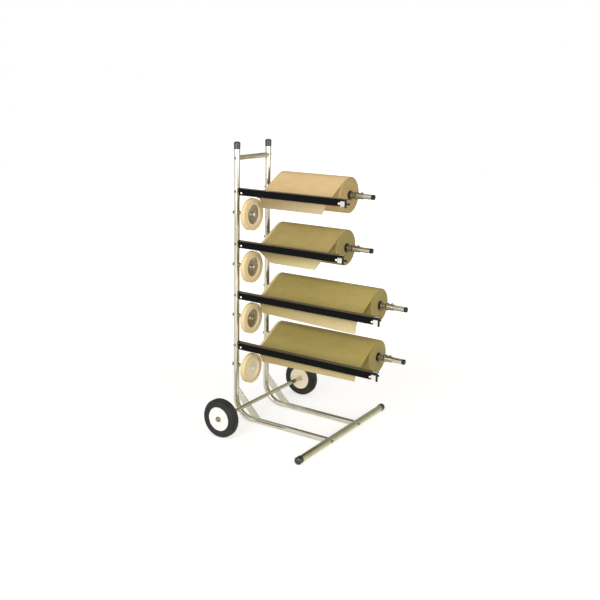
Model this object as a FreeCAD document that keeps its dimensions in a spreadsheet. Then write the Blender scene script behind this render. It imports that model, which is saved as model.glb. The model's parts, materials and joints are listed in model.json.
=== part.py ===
import FreeCAD, Part
import math
import os
import re
import Sketcher
from FreeCAD import Placement, Rotation, Vector

# A wheeled floor stand that holds four masking paper rolls, a cutter bar in
# front of each, and a roll of masking tape under each bar.  X runs forward
# along the rolls, Y from the bar side to the roll side, Z up from the floor.
# The origin is on the floor under the middle of the bounding box; every piece
# is placed from the plane of the two uprights, which lies behind it.

SIZES = {
    # the two bent side frames
    "frame_spacing": (203.2, "between the two uprights, centre to centre"),
    "tube_dia": (22.2, "outside diameter of the bent frame tube"),
    "tube_wall": (1.5, "wall of every steel tube"),
    "bend_radius": (77, "bend of the frame tube, on its centreline"),
    "foot_reach": (437, "uprights' plane to the front cross tube's axis"),
    "handle_height": (126.4, "axis of the handle tube above the middle of the top bar"),
    "frame_top": (61.5, "top of the upright caps above the axis of the handle tube"),
    "handle_dia": (19, "outside diameter of the handle tube"),
    "gusset_width": (30, "flat bar across the bend"),
    "gusset_thick": (4, "thickness of that bar"),
    "weld_bite": (1, "depth that it is let into the round of the tubes"),
    # front cross tube and rubber caps
    "cross_dia": (25.4, "outside diameter of the front cross tube"),
    "cross_length": (634, "length of the front cross tube"),
    "foot_cap_wall": (1.8, "wall of the rubber caps of that tube"),
    "foot_cap_depth": (19, "how far that cap is pushed on"),
    "top_cap_wall": (1.4, "wall of the rubber cap of an upright"),
    "top_cap_depth": (23, "how far that cap is pushed on"),
    "cap_end": (5, "rubber past the end of a tube"),
    "cap_round": (3.5, "rounding of a rubber cap's crown"),
    # wheels
    "wheel_dia": (150, "wheel over its tyre"),
    "wheel_width": (36, "tyre from side to side"),
    "tyre_round": (12, "rounding of the tyre's shoulders"),
    "wheel_offset": (279, "middle of a wheel from the middle plane"),
    "hub_dia": (93, "hub disc inside the tyre"),
    "hub_inset": (2, "face of the hub inside the side of the tyre"),
    "hub_rim": (3, "rim of the hub under the tyre"),
    "hub_barrel": (26, "barrel round the axle, on the outer side"),
    "disc_edge": (1.5, "outer disc behind the hub's face, at the rim"),
    "disc_dish": (3, "outer disc behind the hub's face, at the barrel"),
    "back_edge": (2, "inner disc behind the hub's back, at the rim"),
    "back_dish": (8.6, "inner disc behind the hub's back, at the axle"),
    "axle_dia": (16, "solid wheel axle"),
    "axle_inset": (7.7, "axle behind the outer edge of the straps"),
    "shoulder": (2, "rolled ridge on the axle that a wheel runs against"),
    "push_cap_dia": (21, "cap nut pressed on the axle end"),
    "push_cap_deep": (9, "length of that cap nut"),
    "push_cap_wall": (2, "wall of its end"),
    # four levels of paper
    "bottom_level": (309, "floor to the middle of the lowest cutter bar"),
    "level_pitch": (203.2, "from one level to the next"),
    "spindle_drop": (2.5, "spindle axis below the middle of its bar"),
    "spindle_dia": (20, "outside diameter of a spindle"),
    "spindle_past": (114.3, "spindle past the roll, with its cap"),
    "spindle_cap": (10, "black end cap of a spindle"),
    "spindle_cap_round": (2.5, "rounding of that cap"),
    "roll_start": (65.7, "uprights' plane to the paper"),
    "short_roll": (304.8, "twelve inch paper"),
    "long_roll": (457.2, "eighteen inch paper"),
    "short_dia": (139, "diameter of the two upper rolls"),
    "long_dia": (128, "diameter of the two lower rolls"),
    "core_bore": (31.8, "cardboard core, inside"),
    "core_wall": (2, "wall of the cardboard core"),
    "plug_flange": (4.5, "rim of a core plug outside the paper"),
    "plug_rim": (1.1, "rim of a core plug over the edge of the bore"),
    "plug_deep": (20, "core plug inside the core"),
    "spring_dia": (28, "tension spring, outside"),
    "wire_dia": (3, "wire of the tension spring"),
    "collar_gap": (31.5, "paper to the stop collar"),
    "collar_long": (28, "stop collar"),
    "collar_dia": (24, "barrel of the stop collar"),
    "collar_rim": (30, "rim of the stop collar"),
    "collar_rim_long": (4, "length of that rim"),
    "lock_dia": (5, "screw that locks the collar"),
    "lock_back": (7, "that screw before the collar's end"),
    "lock_head_dia": (8, "head of that screw"),
    "lock_head_high": (3, "height of that head"),
    # the pulled out leaf of paper
    "leaf_thick": (0.5, "leaf of paper, thicker than the real sheet"),
    "leaf_slope": (30, "fall of the leaf from the roll, in degrees"),
    "fold_back": (30.1, "line where the leaf curls down, behind the bars' upright"),
    "leaf_curl": (24, "radius of that curl"),
    "corner_gap": (4, "leaf to the face of the tape beside it"),
    "corner_drop": (23.5, "start of the leaf's cut corner below the middle of the bar"),
    # cutter bars
    "bar_size": (25.4, "steel angle, outside"),
    "bar_thick": (3, "wall of the angle"),
    "bar_round": (4, "rounding of the angle's corner"),
    "bar_face": (1.3, "front of the bar before the front of the upright"),
    "bar_start": (15.5, "uprights' plane to the bar"),
    "bar_past": (106.3, "bar past the end of its roll"),
    "tab_past": (1, "mounting tab past the side of the upright"),
    "tab_reach": (60, "mounting tab behind the bar"),
    "blade_thick": (0.8, "serrated blade"),
    "tooth_pitch": (4, "one tooth of the blade"),
    "tooth_deep": (2.2, "height of a tooth"),
    "tooth_land": (0.2, "half of the flat at the root of a tooth"),
    "tooth_show": (1.5, "tips of the teeth below the bar"),
    "blade_inset": (1, "end of the blade from the end of the bar"),
    "blade_tall": (22, "height of the blade"),
    "rivet_dia": (4, "shank of a blade rivet"),
    "rivet_head": (9, "head of a blade rivet"),
    "rivet_rise": (2, "height of that head"),
    "rivet_in": (14.3, "rivet from the left end of the bar"),
    "rivet_out": (5.5, "rivet from the clip at the other end"),
    "rivet_drop": (3.8, "rivets below the middle of the bar"),
    "clip_width": (18, "bright clip over the end of the bar"),
    "clip_thick": (1, "sheet of that clip"),
    "clip_reach": (17.8, "that clip back over the top of the bar"),
    "guard_thick": (5.5, "black guard on the end of the bar"),
    "guard_drop": (5, "that guard below the bar"),
    "guard_deep": (7, "depth of that guard from front to back"),
    "lug_wide": (5, "lug on the side of the guard"),
    "lug_high": (7, "height of that lug"),
    "lug_inset": (1, "lug before the back of the guard"),
    # tape rolls
    "tape_drop": (82.2, "axis of a tape roll below the middle of its bar"),
    "tape_core": (76.2, "three inch tape core"),
    "tape_width": (19, "three quarter inch tape"),
    "tape_start": (62, "uprights' plane to the tape"),
    "hub_recess": (7.5, "face of the tape hub inside the core"),
    "hub_wall": (2, "sheet of the tape hub"),
    "bush_rim": (1, "bush of the tape hub past the flats of its nut"),
    "rod_dia": (8, "bolt that carries the tape"),
    "rod_flats": (13, "across the flats of its head and nuts"),
    "nut_high": (6.5, "height of those nuts"),
    "rod_head": (8, "height of that head"),
    "rod_past": (2, "thread past a nut"),
    # screws and fits
    "screw_dia": (6, "frame screws"),
    "screw_flats": (10, "across the flats of their heads"),
    "screw_high": (4, "height of their heads"),
    "screw_long": (45, "length of a frame screw"),
    "thread_deep": (20, "threaded plug inside the end of a tube"),
    "thread_back": (4, "that plug behind the end of the tube"),
    "run_gap": (0.1, "radial clearance of a turning or sliding fit"),
    "side_gap": (0.4, "gap between a turning piece and its neighbour"),
}
LEVELS = (
    {"roll": "short_roll", "dia": "short_dia", "shift": 8, "bar_more": 5, "lug": 14, "lug_up": -3,
     "tape": 123, "leaf_end": 57.5, "leaf_fall": 39.5, "cut": (29, -1, -1)},
    {"roll": "short_roll", "dia": "short_dia", "shift": 0, "bar_more": 0, "lug": 14, "lug_up": -3,
     "tape": 122, "leaf_end": 31, "leaf_fall": 58, "cut": (95, -1, -1)},
    {"roll": "long_roll", "dia": "long_dia", "shift": 0, "bar_more": 0, "lug": 6, "lug_up": 6,
     "tape": 119, "leaf_end": 76, "leaf_fall": 44.5, "cut": (25, 9.7, -1)},
    {"roll": "long_roll", "dia": "long_dia", "shift": 0, "bar_more": 0, "lug": 6, "lug_up": 6,
     "tape": 116, "leaf_end": 81, "leaf_fall": 30, "cut": (22, 0.5, 6)},
)
SIDES = {"near": -1, "far": 1}

# Lengths that follow from the sizes above
HANDLE_Z = f"(bottom_level + {len(LEVELS) - 1} * level_pitch + handle_height)"
FRAME_TOP = f"({HANDLE_Z} + frame_top)"
TUBE = "tube_dia / 2"
HALF = "frame_spacing / 2"
FOOT_Z = "(cross_dia / 2 + foot_cap_wall)"
CORNER = f"(bend_radius + {FOOT_Z} + {TUBE})"
AXLE_X = f"({CORNER} + gusset_width * sqrt(2) - wheel_dia / 2 - axle_inset)"
HUB_HALF = "(wheel_width / 2 - hub_inset)"
HUB_FACE = "(tape_start + tape_width - hub_recess)"
FOLD = "(frame_spacing - fold_back)"
BAR_FACE = f"({TUBE} + bar_face)"
ROD_BACK = f"({TUBE} + nut_high + rod_past)"
LUG_TIP = f"(roll_start + long_roll + bar_past + guard_thick + {LEVELS[3]['lug']})"
MIDDLE = f"({LUG_TIP} - {ROD_BACK}) / 2"

doc = FreeCAD.newDocument("PaperStand")
sheet = doc.addObject("Spreadsheet::Sheet", "Sizes")
nodes = []


def fill_sheet():
    for row, (name, (value, words)) in enumerate(SIZES.items(), start=1):
        sheet.set(f"A{row}", words)
        sheet.set(f"B{row}", str(value))
        sheet.setAlias(f"B{row}", name)
    doc.recompute()


def bound(text):
    """The expression with each size pointed at its cell in the sheet."""
    return re.sub(r"[a-z][a-z_]*", lambda word: "Sizes." + word[0] if word[0] in SIZES else word[0],
                  str(text))


def number(text):
    return float(sheet.evalExpression(bound(text)))


def drive(item, **sizes):
    for name, text in sizes.items():
        item.setExpression(name, bound(text))
    return item


def place(item, x="0", y="0", z="0", axis=Vector(0, 0, 1), turn=0):
    """Stand an item on x, y, z, counted from the uprights' plane, the middle and the floor."""
    item.Placement = Placement(Vector(), Rotation(axis, turn))
    for name, text in (("x", f"{x} - {MIDDLE}"), ("y", y), ("z", z)):
        item.setExpression(f"Placement.Base.{name}", bound(text))
    return item


def name_node(item, label):
    item.Label = label
    nodes.append(item)
    return item


def group(label, members):
    """Alike pieces that share a node, each still its own solid."""
    bundle = doc.addObject("Part::Compound", label)
    bundle.Links = members
    return name_node(bundle, label)


def new_body(name, x="0", y="0", z="0", axis=Vector(0, 0, 1), turn=0):
    return place(doc.addObject("PartDesign::Body", name), x, y, z, axis, turn)


def new_sketch(body, role, offset="0"):
    """A sketch on one of the body's origin planes, moved along the plane's normal."""
    sketch = body.newObject("Sketcher::SketchObject", body.Name + "_sketch")
    plane = [item for item in body.Origin.OriginFeatures if item.Role == role + "_Plane"][0]
    sketch.AttachmentSupport = (plane, [""])
    sketch.MapMode = "FlatFace"
    sketch.setExpression(".AttachmentOffset.Base.z", bound(offset))
    return sketch


def hold(sketch, kind, *where, text):
    index = sketch.addConstraint(Sketcher.Constraint(kind, *where, number(text)))
    if re.search("[a-z]", str(text)):
        sketch.setExpression(f"Constraints[{index}]", bound(text))


def circle(sketch, diameter, u="0", v="0"):
    centre = Vector(number(u), number(v), 0)
    edge = sketch.addGeometry(Part.Circle(centre, Vector(0, 0, 1), number(diameter) / 2))
    hold(sketch, "Diameter", edge, text=diameter)
    hold(sketch, "DistanceX", -1, 1, edge, 3, text=u)
    hold(sketch, "DistanceY", -1, 1, edge, 3, text=v)


def polygon(sketch, corners):
    """A closed outline through corners given as pairs of expressions."""
    points = [Vector(number(u), number(v), 0) for u, v in corners]
    first = sketch.GeometryCount
    for here, there in zip(points, points[1:] + points[:1]):
        sketch.addGeometry(Part.LineSegment(here, there))
    for index, (u, v) in enumerate(corners):
        line, following = first + index, first + (index + 1) % len(corners)
        sketch.addConstraint(Sketcher.Constraint("Coincident", line, 2, following, 1))
        hold(sketch, "DistanceX", -1, 1, line, 1, text=u)
        hold(sketch, "DistanceY", -1, 1, line, 1, text=v)


def box_outline(sketch, left, low, right, high):
    polygon(sketch, [(left, low), (right, low), (right, high), (left, high)])


def pad(body, sketch, length, middle=False):
    feature = body.newObject("PartDesign::Pad", body.Name + "_pad")
    feature.Profile = sketch
    feature.Midplane = middle
    drive(feature, Length=length)
    doc.recompute()
    return feature


def pocket(body, sketch):
    """Cut the sketch right through the body, both ways from its plane."""
    before = body.Shape.Volume
    feature = body.newObject("PartDesign::Pocket", body.Name + "_pocket")
    feature.Profile = sketch
    feature.Midplane = True
    feature.Type = "ThroughAll"
    doc.recompute()
    if body.Shape.Volume > before - 0.01:
        raise RuntimeError(body.Name + ": a pocket that cuts nothing")
    return feature


def revolve(body, sketch, axis):
    feature = body.newObject("PartDesign::Revolution", body.Name + "_revolution")
    feature.Profile = sketch
    feature.ReferenceAxis = (sketch, [axis])
    doc.recompute()
    return feature


def round_edges(body, radius, chosen):
    """Fillet the edges of the body that the given test picks."""
    base = body.Tip
    doc.recompute()
    names = [f"Edge{index}" for index, edge in enumerate(base.Shape.Edges, start=1) if chosen(edge)]
    feature = body.newObject("PartDesign::Fillet", body.Name + "_fillet")
    feature.Base = (base, names)
    drive(feature, Radius=radius)
    doc.recompute()
    return feature


def ring_pad(body, role, outside, inside, length, offset="0", middle=False):
    sketch = new_sketch(body, role, offset)
    circle(sketch, outside)
    circle(sketch, inside)
    return pad(body, sketch, length, middle)


def hex_screw(name, dia, long, flats, high):
    """A hexagon head screw whose head rests on the XY plane and whose shank runs up from it."""
    head = doc.addObject("Part::Prism", name + "_head")
    drive(head, Circumradius=f"{flats} / sqrt(3)", Height=high)
    head.setExpression("Placement.Base.z", bound(f"-({high})"))
    shank = drive(doc.addObject("Part::Cylinder", name + "_shank"), Radius=f"{dia} / 2", Height=long)
    screw = doc.addObject("Part::MultiFuse", name)
    screw.Shapes = [head, shank]
    return screw


def hex_nut(name, dia, flats, high):
    block = doc.addObject("Part::Prism", name + "_block")
    drive(block, Circumradius=f"{flats} / sqrt(3)", Height=high)
    bore = drive(doc.addObject("Part::Cylinder", name + "_bore"), Radius=f"{dia} / 2", Height=high)
    nut = doc.addObject("Part::Cut", name)
    nut.Base = block
    nut.Tool = bore
    return nut


ALONG = {"+x": (Vector(0, 1, 0), 90), "-x": (Vector(0, 1, 0), -90), "+y": (Vector(1, 0, 0), -90),
         "-y": (Vector(1, 0, 0), 90)}


def bar_z(level):
    return f"(bottom_level + {len(LEVELS) - 1 - level} * level_pitch)"


def spindle_z(level):
    return f"({bar_z(level)} - spindle_drop)"


def tape_z(level):
    return f"({bar_z(level)} - tape_drop)"


def paper_start(level):
    return f"(roll_start + {LEVELS[level]['shift']})"


def roll_end(level):
    return f"({paper_start(level)} + {LEVELS[level]['roll']})"


def spindle_end(level):
    return f"(roll_start + {LEVELS[level]['roll']} + spindle_past)"


def bar_end(level):
    return f"(roll_start + {LEVELS[level]['roll']} + bar_past + {LEVELS[level]['bar_more']})"


def rivet_places(level):
    return "(bar_start + rivet_in)", f"({bar_end(level)} - clip_width - rivet_out)"


def side_frame(side):
    """One steel tube: upright, bend and foot, coped onto the front tube, drilled for its fittings."""
    body = new_body(f"side_frame_{side}", y=f"{SIDES[side]} * {HALF}")
    path = new_sketch(body, "XZ")
    top, knee = f"{FRAME_TOP} - cap_end", f"{FOOT_Z} + bend_radius"
    ends = [(("0", top), ("0", knee)), (("bend_radius", FOOT_Z), ("foot_reach", FOOT_Z))]
    for begin, finish in ends:
        points = [Vector(number(u), number(v), 0) for u, v in (begin, finish)]
        line = path.addGeometry(Part.LineSegment(*points))
        for end, (u, v) in ((1, begin), (2, finish)):
            hold(path, "DistanceX", -1, 1, line, end, text=u)
            hold(path, "DistanceY", -1, 1, line, end, text=v)
    centre = Vector(number("bend_radius"), number(knee), 0)
    bend = Part.Circle(centre, Vector(0, 0, 1), centre.x)
    arc = path.addGeometry(Part.ArcOfCircle(bend, math.pi, 1.5 * math.pi))
    path.addConstraint(Sketcher.Constraint("Coincident", arc, 1, 0, 2))
    path.addConstraint(Sketcher.Constraint("Coincident", arc, 2, 1, 1))
    hold(path, "Radius", arc, text="bend_radius")
    section = new_sketch(body, "XY", top)
    circle(section, "tube_dia")
    circle(section, "tube_dia - 2 * tube_wall")
    doc.recompute()
    sweep = body.newObject("PartDesign::AdditivePipe", body.Name + "_pipe")
    sweep.Profile = section
    sweep.Spine = (path, [f"Edge{index + 1}" for index in range(3)])
    doc.recompute()
    plug = new_sketch(body, "YZ", "foot_reach - cross_dia / 2 - thread_back - thread_deep")
    circle(plug, "tube_dia - 2 * tube_wall", v=FOOT_Z)
    circle(plug, "screw_dia", v=FOOT_Z)
    pad(body, plug, "thread_deep")
    cope = new_sketch(body, "XZ")
    circle(cope, "cross_dia", "foot_reach", FOOT_Z)
    pocket(body, cope)
    across = new_sketch(body, "XZ")
    circle(across, "screw_dia", v=HANDLE_Z)
    along = new_sketch(body, "YZ")
    for level in range(len(LEVELS)):
        if side == "near":
            circle(across, "screw_dia", v=bar_z(level))
            circle(along, "rod_dia", v=tape_z(level))
        else:
            circle(along, "screw_dia", v=spindle_z(level))
    pocket(body, across)
    pocket(body, along)
    return name_node(body, body.Name)


def handle_tube():
    """The cross tube that is gripped, coped between the uprights and closed by threaded plugs."""
    body = new_body("handle_tube", z=HANDLE_Z)
    ring_pad(body, "XZ", "handle_dia", "handle_dia - 2 * tube_wall", "frame_spacing", middle=True)
    for sign in (-1, 1):
        plug = new_sketch(body, "XZ", f"{sign} * ({HALF} - {TUBE} - thread_back - thread_deep / 2)")
        circle(plug, "handle_dia - 2 * tube_wall")
        circle(plug, "screw_dia")
        pad(body, plug, "thread_deep", middle=True)
    cope = new_sketch(body, "XY")
    for sign in (-1, 1):
        circle(cope, "tube_dia", v=f"{sign} * {HALF}")
    pocket(body, cope)
    return name_node(body, body.Name)


def rubber_cap(name, wall, tube, deep, **where):
    """A rubber cap pushed over a tube's end: its mouth opens down its own Z axis."""
    body = new_body(name, **where)
    cup = new_sketch(body, "XZ")
    bore, outside = f"{tube} / 2", f"{tube} / 2 + {wall}"
    polygon(cup, [(bore, f"-{deep}"), (outside, f"-{deep}"), (outside, "cap_end"), ("0", "cap_end"),
                  ("0", "0"), (bore, "0")])
    revolve(body, cup, "V_Axis")
    crown = number("cap_end")
    round_edges(body, "cap_round", lambda edge: abs(edge.BoundBox.ZMin - crown) < 0.01
                and abs(edge.BoundBox.ZMax - crown) < 0.01)
    return body


def gusset_strap(side):
    """Flat bar welded across the bend, with an open slot that the axle is welded into."""
    body = new_body(f"gusset_strap_{side}", y=f"{SIDES[side]} * {HALF}")
    strip = new_sketch(body, "XZ")
    near, far = CORNER, f"({CORNER} + gusset_width * sqrt(2))"
    inset = f"({TUBE} - weld_bite)"
    low = f"({FOOT_Z} + {inset})"
    polygon(strip, [(inset, f"{near} - {inset}"), (f"{near} - {low}", low), (f"{far} - {low}", low),
                    (inset, f"{far} - {inset}")])
    pad(body, strip, "gusset_thick", middle=True)
    notch = new_sketch(body, "XZ")
    circle(notch, "axle_dia", AXLE_X, "wheel_dia / 2")
    pocket(body, notch)
    mouth = new_sketch(body, "XZ")
    edges, tangent = [], "axle_dia / 2 / sqrt(2)"
    for sign, outward in ((1, "0"), (1, "axle_dia"), (-1, "axle_dia"), (-1, "0")):
        edges.append((f"{AXLE_X} + {sign} * {tangent} + {outward}",
                      f"wheel_dia / 2 - {sign} * {tangent} + {outward}"))
    polygon(mouth, edges)
    pocket(body, mouth)
    upright = new_sketch(body, "XY")
    circle(upright, "tube_dia")
    pocket(body, upright)
    foot = new_sketch(body, "YZ")
    circle(foot, "tube_dia", v=FOOT_Z)
    pocket(body, foot)
    return body


def wheel_axle():
    """Solid bar across both side frames, with a rolled ridge behind each wheel."""
    body = new_body("wheel_axle", AXLE_X, z="wheel_dia / 2")
    end = f"(wheel_offset + {HUB_HALF} + push_cap_deep - push_cap_wall)"
    stop = f"(wheel_offset - {HUB_HALF} + back_dish - side_gap)"
    bar, ridge = "axle_dia / 2", "axle_dia / 2 + shoulder"
    half = [(bar, f"({stop} - shoulder)"), (ridge, f"({stop} - shoulder)"), (ridge, stop), (bar, stop),
            (bar, end), ("0", end)]
    shaft = new_sketch(body, "XY")
    polygon(shaft, [(radius, f"-{along}") for radius, along in reversed(half)] + half)
    revolve(body, shaft, "V_Axis")
    return name_node(body, body.Name)


def front_cross_tube():
    """The front foot: one straight tube that the two side frames are screwed to."""
    body = new_body("front_cross_tube", "foot_reach", z=FOOT_Z)
    ring_pad(body, "XZ", "cross_dia", "cross_dia - 2 * tube_wall", "cross_length", middle=True)
    holes = new_sketch(body, "YZ")
    for sign in SIDES.values():
        circle(holes, "screw_dia", f"{sign} * {HALF}")
    pocket(body, holes)
    return name_node(body, body.Name)


def wheel(side):
    """Rubber tyre on a white hub of two discs, of which the inner one is dished more deeply."""
    where = {"x": AXLE_X, "y": f"{SIDES[side]} * wheel_offset", "z": "wheel_dia / 2"}
    tyre = new_body(f"wheel_{side}_tyre", **where)
    ring_pad(tyre, "XZ", "wheel_dia", "hub_dia", "wheel_width", middle=True)
    rim = number("wheel_dia") / 2
    round_edges(tyre, "tyre_round", lambda edge: abs(edge.BoundBox.XMax - rim) < 0.01
                and abs(edge.BoundBox.YMax - edge.BoundBox.YMin) < 0.01)
    name_node(tyre, tyre.Name)
    hub = new_body(f"wheel_{side}_hub", **where)
    dish = new_sketch(hub, "XY")
    bore, barrel = "axle_dia / 2 + run_gap", "hub_barrel / 2"
    lip, rim = "hub_dia / 2 - hub_rim", "hub_dia / 2"
    out = SIDES[side]
    back = [(bore, f"{-out} * ({HUB_HALF} - back_dish)"), (lip, f"{-out} * ({HUB_HALF} - back_edge)"),
            (lip, f"{-out} * {HUB_HALF}"), (rim, f"{-out} * {HUB_HALF}")]
    front = [(rim, f"{out} * {HUB_HALF}"), (lip, f"{out} * {HUB_HALF}"),
             (lip, f"{out} * ({HUB_HALF} - disc_edge)"), (barrel, f"{out} * ({HUB_HALF} - disc_dish)"),
             (barrel, f"{out} * {HUB_HALF}"), (bore, f"{out} * {HUB_HALF}")]
    polygon(dish, back + front)
    revolve(hub, dish, "V_Axis")
    name_node(hub, hub.Name)


def push_cap(side):
    """Cap nut pressed on the axle end, which keeps the wheel on."""
    sign = SIDES[side]
    face = f"(wheel_offset + {HUB_HALF} + side_gap)"
    body = new_body(f"push_cap_{side}", AXLE_X, f"{sign} * {face}", "wheel_dia / 2", turn=90 - 90 * sign)
    cup = new_sketch(body, "XY")
    high, depth = "(push_cap_deep - side_gap)", "(push_cap_deep - push_cap_wall - side_gap)"
    bore, flank = "axle_dia / 2", "push_cap_dia / 2"
    polygon(cup, [(bore, "0"), (flank, "0"), (flank, "push_cap_deep / 2"), (f"{bore} + push_cap_wall", high),
                  ("0", high), ("0", depth), (bore, depth)])
    revolve(body, cup, "V_Axis")
    return body


def spindle(level):
    """Plated tube that carries a roll, coped onto the far upright and threaded at that end."""
    body = new_body(f"spindle_{level + 1}", y=HALF, z=spindle_z(level))
    length = f"({spindle_end(level)} - spindle_cap)"
    ring_pad(body, "YZ", "spindle_dia", "spindle_dia - 2 * tube_wall", length)
    plug = new_sketch(body, "YZ", f"{TUBE} + thread_back")
    circle(plug, "spindle_dia - 2 * tube_wall")
    circle(plug, "screw_dia")
    pad(body, plug, "thread_deep")
    cope = new_sketch(body, "XY")
    circle(cope, "tube_dia")
    pocket(body, cope)
    return name_node(body, body.Name)


def spindle_cap(level):
    """Black plug pushed into the spindle's end, its head as wide as the tube."""
    start = f"{spindle_end(level)} - spindle_cap"
    body = new_body(f"spindle_cap_{level + 1}", start, HALF, spindle_z(level))
    stem = new_sketch(body, "YZ", "-spindle_cap")
    circle(stem, "spindle_dia - 2 * tube_wall")
    pad(body, stem, "spindle_cap")
    head = new_sketch(body, "YZ")
    circle(head, "spindle_dia")
    pad(body, head, "spindle_cap")
    tip = number("spindle_cap")
    round_edges(body, "spindle_cap_round", lambda edge: abs(edge.BoundBox.XMin - tip) < 0.01)
    return body


def paper_roll(level):
    """The wound paper, its cardboard core and the black plugs that turn on the spindle."""
    size = LEVELS[level]
    where = {"x": paper_start(level), "y": HALF, "z": spindle_z(level)}
    paper = new_body(f"paper_roll_{level + 1}", **where)
    ring_pad(paper, "YZ", size["dia"], "core_bore + 2 * core_wall", size["roll"])
    name_node(paper, paper.Name)
    core = new_body(f"paper_core_{level + 1}", **where)
    ring_pad(core, "YZ", "core_bore + 2 * core_wall", "core_bore", size["roll"])
    name_node(core, core.Name)
    plugs = []
    for end, turn in ((0, 180), (1, 0)):
        where["x"] = f"{paper_start(level)} + {end} * {size['roll']}"
        plug = new_body(f"core_plug_{level + 1}_{end}", **where, turn=turn)
        ring_pad(plug, "YZ", "core_bore", "spindle_dia + 2 * run_gap", "plug_deep", "-plug_deep")
        ring_pad(plug, "YZ", "core_bore + 2 * plug_rim", "spindle_dia + 2 * run_gap", "plug_flange")
        plugs.append(plug)
    group(f"core_plugs_{level + 1}", plugs)


def tension_spring(level):
    """Open coil between the core plug and the stop collar, which brakes the roll."""
    room = "(collar_gap - plug_flange - 2 * side_gap)"
    start = f"{roll_end(level)} + plug_flange + side_gap + wire_dia / 2"
    body = new_body(f"tension_spring_{level + 1}", start, HALF, spindle_z(level))
    wire = new_sketch(body, "XY")
    circle(wire, "wire_dia", v="(spring_dia - wire_dia) / 2")
    doc.recompute()
    coil = body.newObject("PartDesign::AdditiveHelix", body.Name + "_helix")
    coil.Profile = wire
    coil.ReferenceAxis = (wire, ["H_Axis"])
    coil.Mode = "height-turns-angle"
    coil.Turns = 3
    drive(coil, Height=f"{room} - wire_dia")
    doc.recompute()
    return body


def spindle_collar(level):
    """Stop collar that slides on the spindle, with the screw that locks it."""
    start = f"{roll_end(level)} + collar_gap"
    sleeve = new_body(f"collar_sleeve_{level + 1}", start, HALF, spindle_z(level))
    bore = "spindle_dia + 2 * run_gap"
    ring_pad(sleeve, "YZ", "collar_rim", bore, "collar_rim_long")
    ring_pad(sleeve, "YZ", "collar_dia", bore, "collar_long")
    drill = new_sketch(sleeve, "XY")
    circle(drill, "lock_dia", "collar_long - lock_back")
    hole = sleeve.newObject("PartDesign::Pocket", sleeve.Name + "_drill")
    hole.Profile = drill
    hole.Type = "ThroughAll"
    hole.Reversed = True
    doc.recompute()
    lock_x = f"{start} + collar_long - lock_back"
    screw = new_body(f"collar_screw_{level + 1}", lock_x, HALF, spindle_z(level))
    shank = new_sketch(screw, "XY", "spindle_dia / 2 + run_gap")
    circle(shank, "lock_dia")
    pad(screw, shank, "(collar_dia - spindle_dia) / 2 + 2 * side_gap + run_gap")
    head = new_sketch(screw, "XY", "collar_dia / 2 + 2 * side_gap")
    circle(head, "lock_head_dia")
    pad(screw, head, "lock_head_high")
    group(f"spindle_collar_{level + 1}", [sleeve, screw])


def paper_leaf(level):
    """The pulled out end of the paper: flat to its fold, then curling down past the bar.

    Its lower corner is cut away beside the tape, and on two levels its end is cut at a slant."""
    size = LEVELS[level]
    body = new_body(f"paper_leaf_{level + 1}", paper_start(level), HALF, spindle_z(level))
    first, last = "leaf_slope", size["leaf_end"]
    root = f"({size['dia']} / 2 + side_gap + leaf_thick / 2)"
    start_y, start_z = f"(-{root} * sin({first}))", f"({root} * cos({first}))"
    fold_z = f"({start_z} - ({FOLD} + {start_y}) * tan({first}))"
    trim = f"(leaf_curl * tan(({last} - {first}) / 2))"
    centre = (f"-{FOLD} + {trim} * cos({first}) + leaf_curl * sin({first})",
              f"{fold_z} + {trim} * sin({first}) - leaf_curl * cos({first})")
    tip = (f"-{FOLD} - {size['leaf_fall']} * cos({last})", f"{fold_z} - {size['leaf_fall']} * sin({last})")
    middle = Vector(number(centre[0]), number(centre[1]), 0)
    section = new_sketch(body, "YZ")
    ends = []
    for side in ("+", "-"):
        begin = [f"{start_y} {side} -leaf_thick / 2 * sin({first})",
                 f"{start_z} {side} leaf_thick / 2 * cos({first})"]
        finish = [f"{tip[0]} {side} -leaf_thick / 2 * sin({last})",
                  f"{tip[1]} {side} leaf_thick / 2 * cos({last})"]
        radius = f"leaf_curl {side} leaf_thick / 2"
        bend = Part.Circle(middle, Vector(0, 0, 1), number(radius))
        angles = [math.radians(90 + number(slope)) for slope in (first, last)]
        curl = section.addGeometry(Part.ArcOfCircle(bend, *angles))
        arc = section.Geometry[curl]
        points = [Vector(number(u), number(v), 0) for u, v in (begin, finish)]
        flat = section.addGeometry(Part.LineSegment(points[0], arc.StartPoint))
        fall = section.addGeometry(Part.LineSegment(arc.EndPoint, points[1]))
        section.addConstraint(Sketcher.Constraint("Tangent", flat, 2, curl, 1))
        section.addConstraint(Sketcher.Constraint("Tangent", fall, 1, curl, 2))
        hold(section, "Radius", curl, text=radius)
        for kind, along in (("DistanceX", 0), ("DistanceY", 1)):
            hold(section, kind, -1, 1, curl, 3, text=centre[along])
            hold(section, kind, -1, 1, flat, 1, text=begin[along])
            hold(section, kind, -1, 1, fall, 2, text=finish[along])
        ends.append((flat, 1, fall, 2, points))
    for index in (0, 1):
        edge = section.addGeometry(Part.LineSegment(ends[0][4][index], ends[1][4][index]))
        section.addConstraint(Sketcher.Constraint("Coincident", edge, 1, *ends[0][2 * index:2 * index + 2]))
        section.addConstraint(Sketcher.Constraint("Coincident", edge, 2, *ends[1][2 * index:2 * index + 2]))
    pad(body, section, size["roll"])
    run, left, right = size["cut"]
    high = "spindle_drop - corner_drop"
    inner = f"(tape_start + tape_width + corner_gap - {paper_start(level)})"
    outer, low = f"{size['roll']} + corner_gap", f"{tip[1]} - leaf_curl"
    trimmed = new_sketch(body, "XZ")
    polygon(trimmed, [("-corner_gap", high), (inner, high), (f"{inner} + {run}", f"{tip[1]} + {left}"),
                      (outer, f"{tip[1]} + {right}"), (outer, low), ("-corner_gap", low)])
    pocket(body, trimmed)
    return name_node(body, body.Name)


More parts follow.
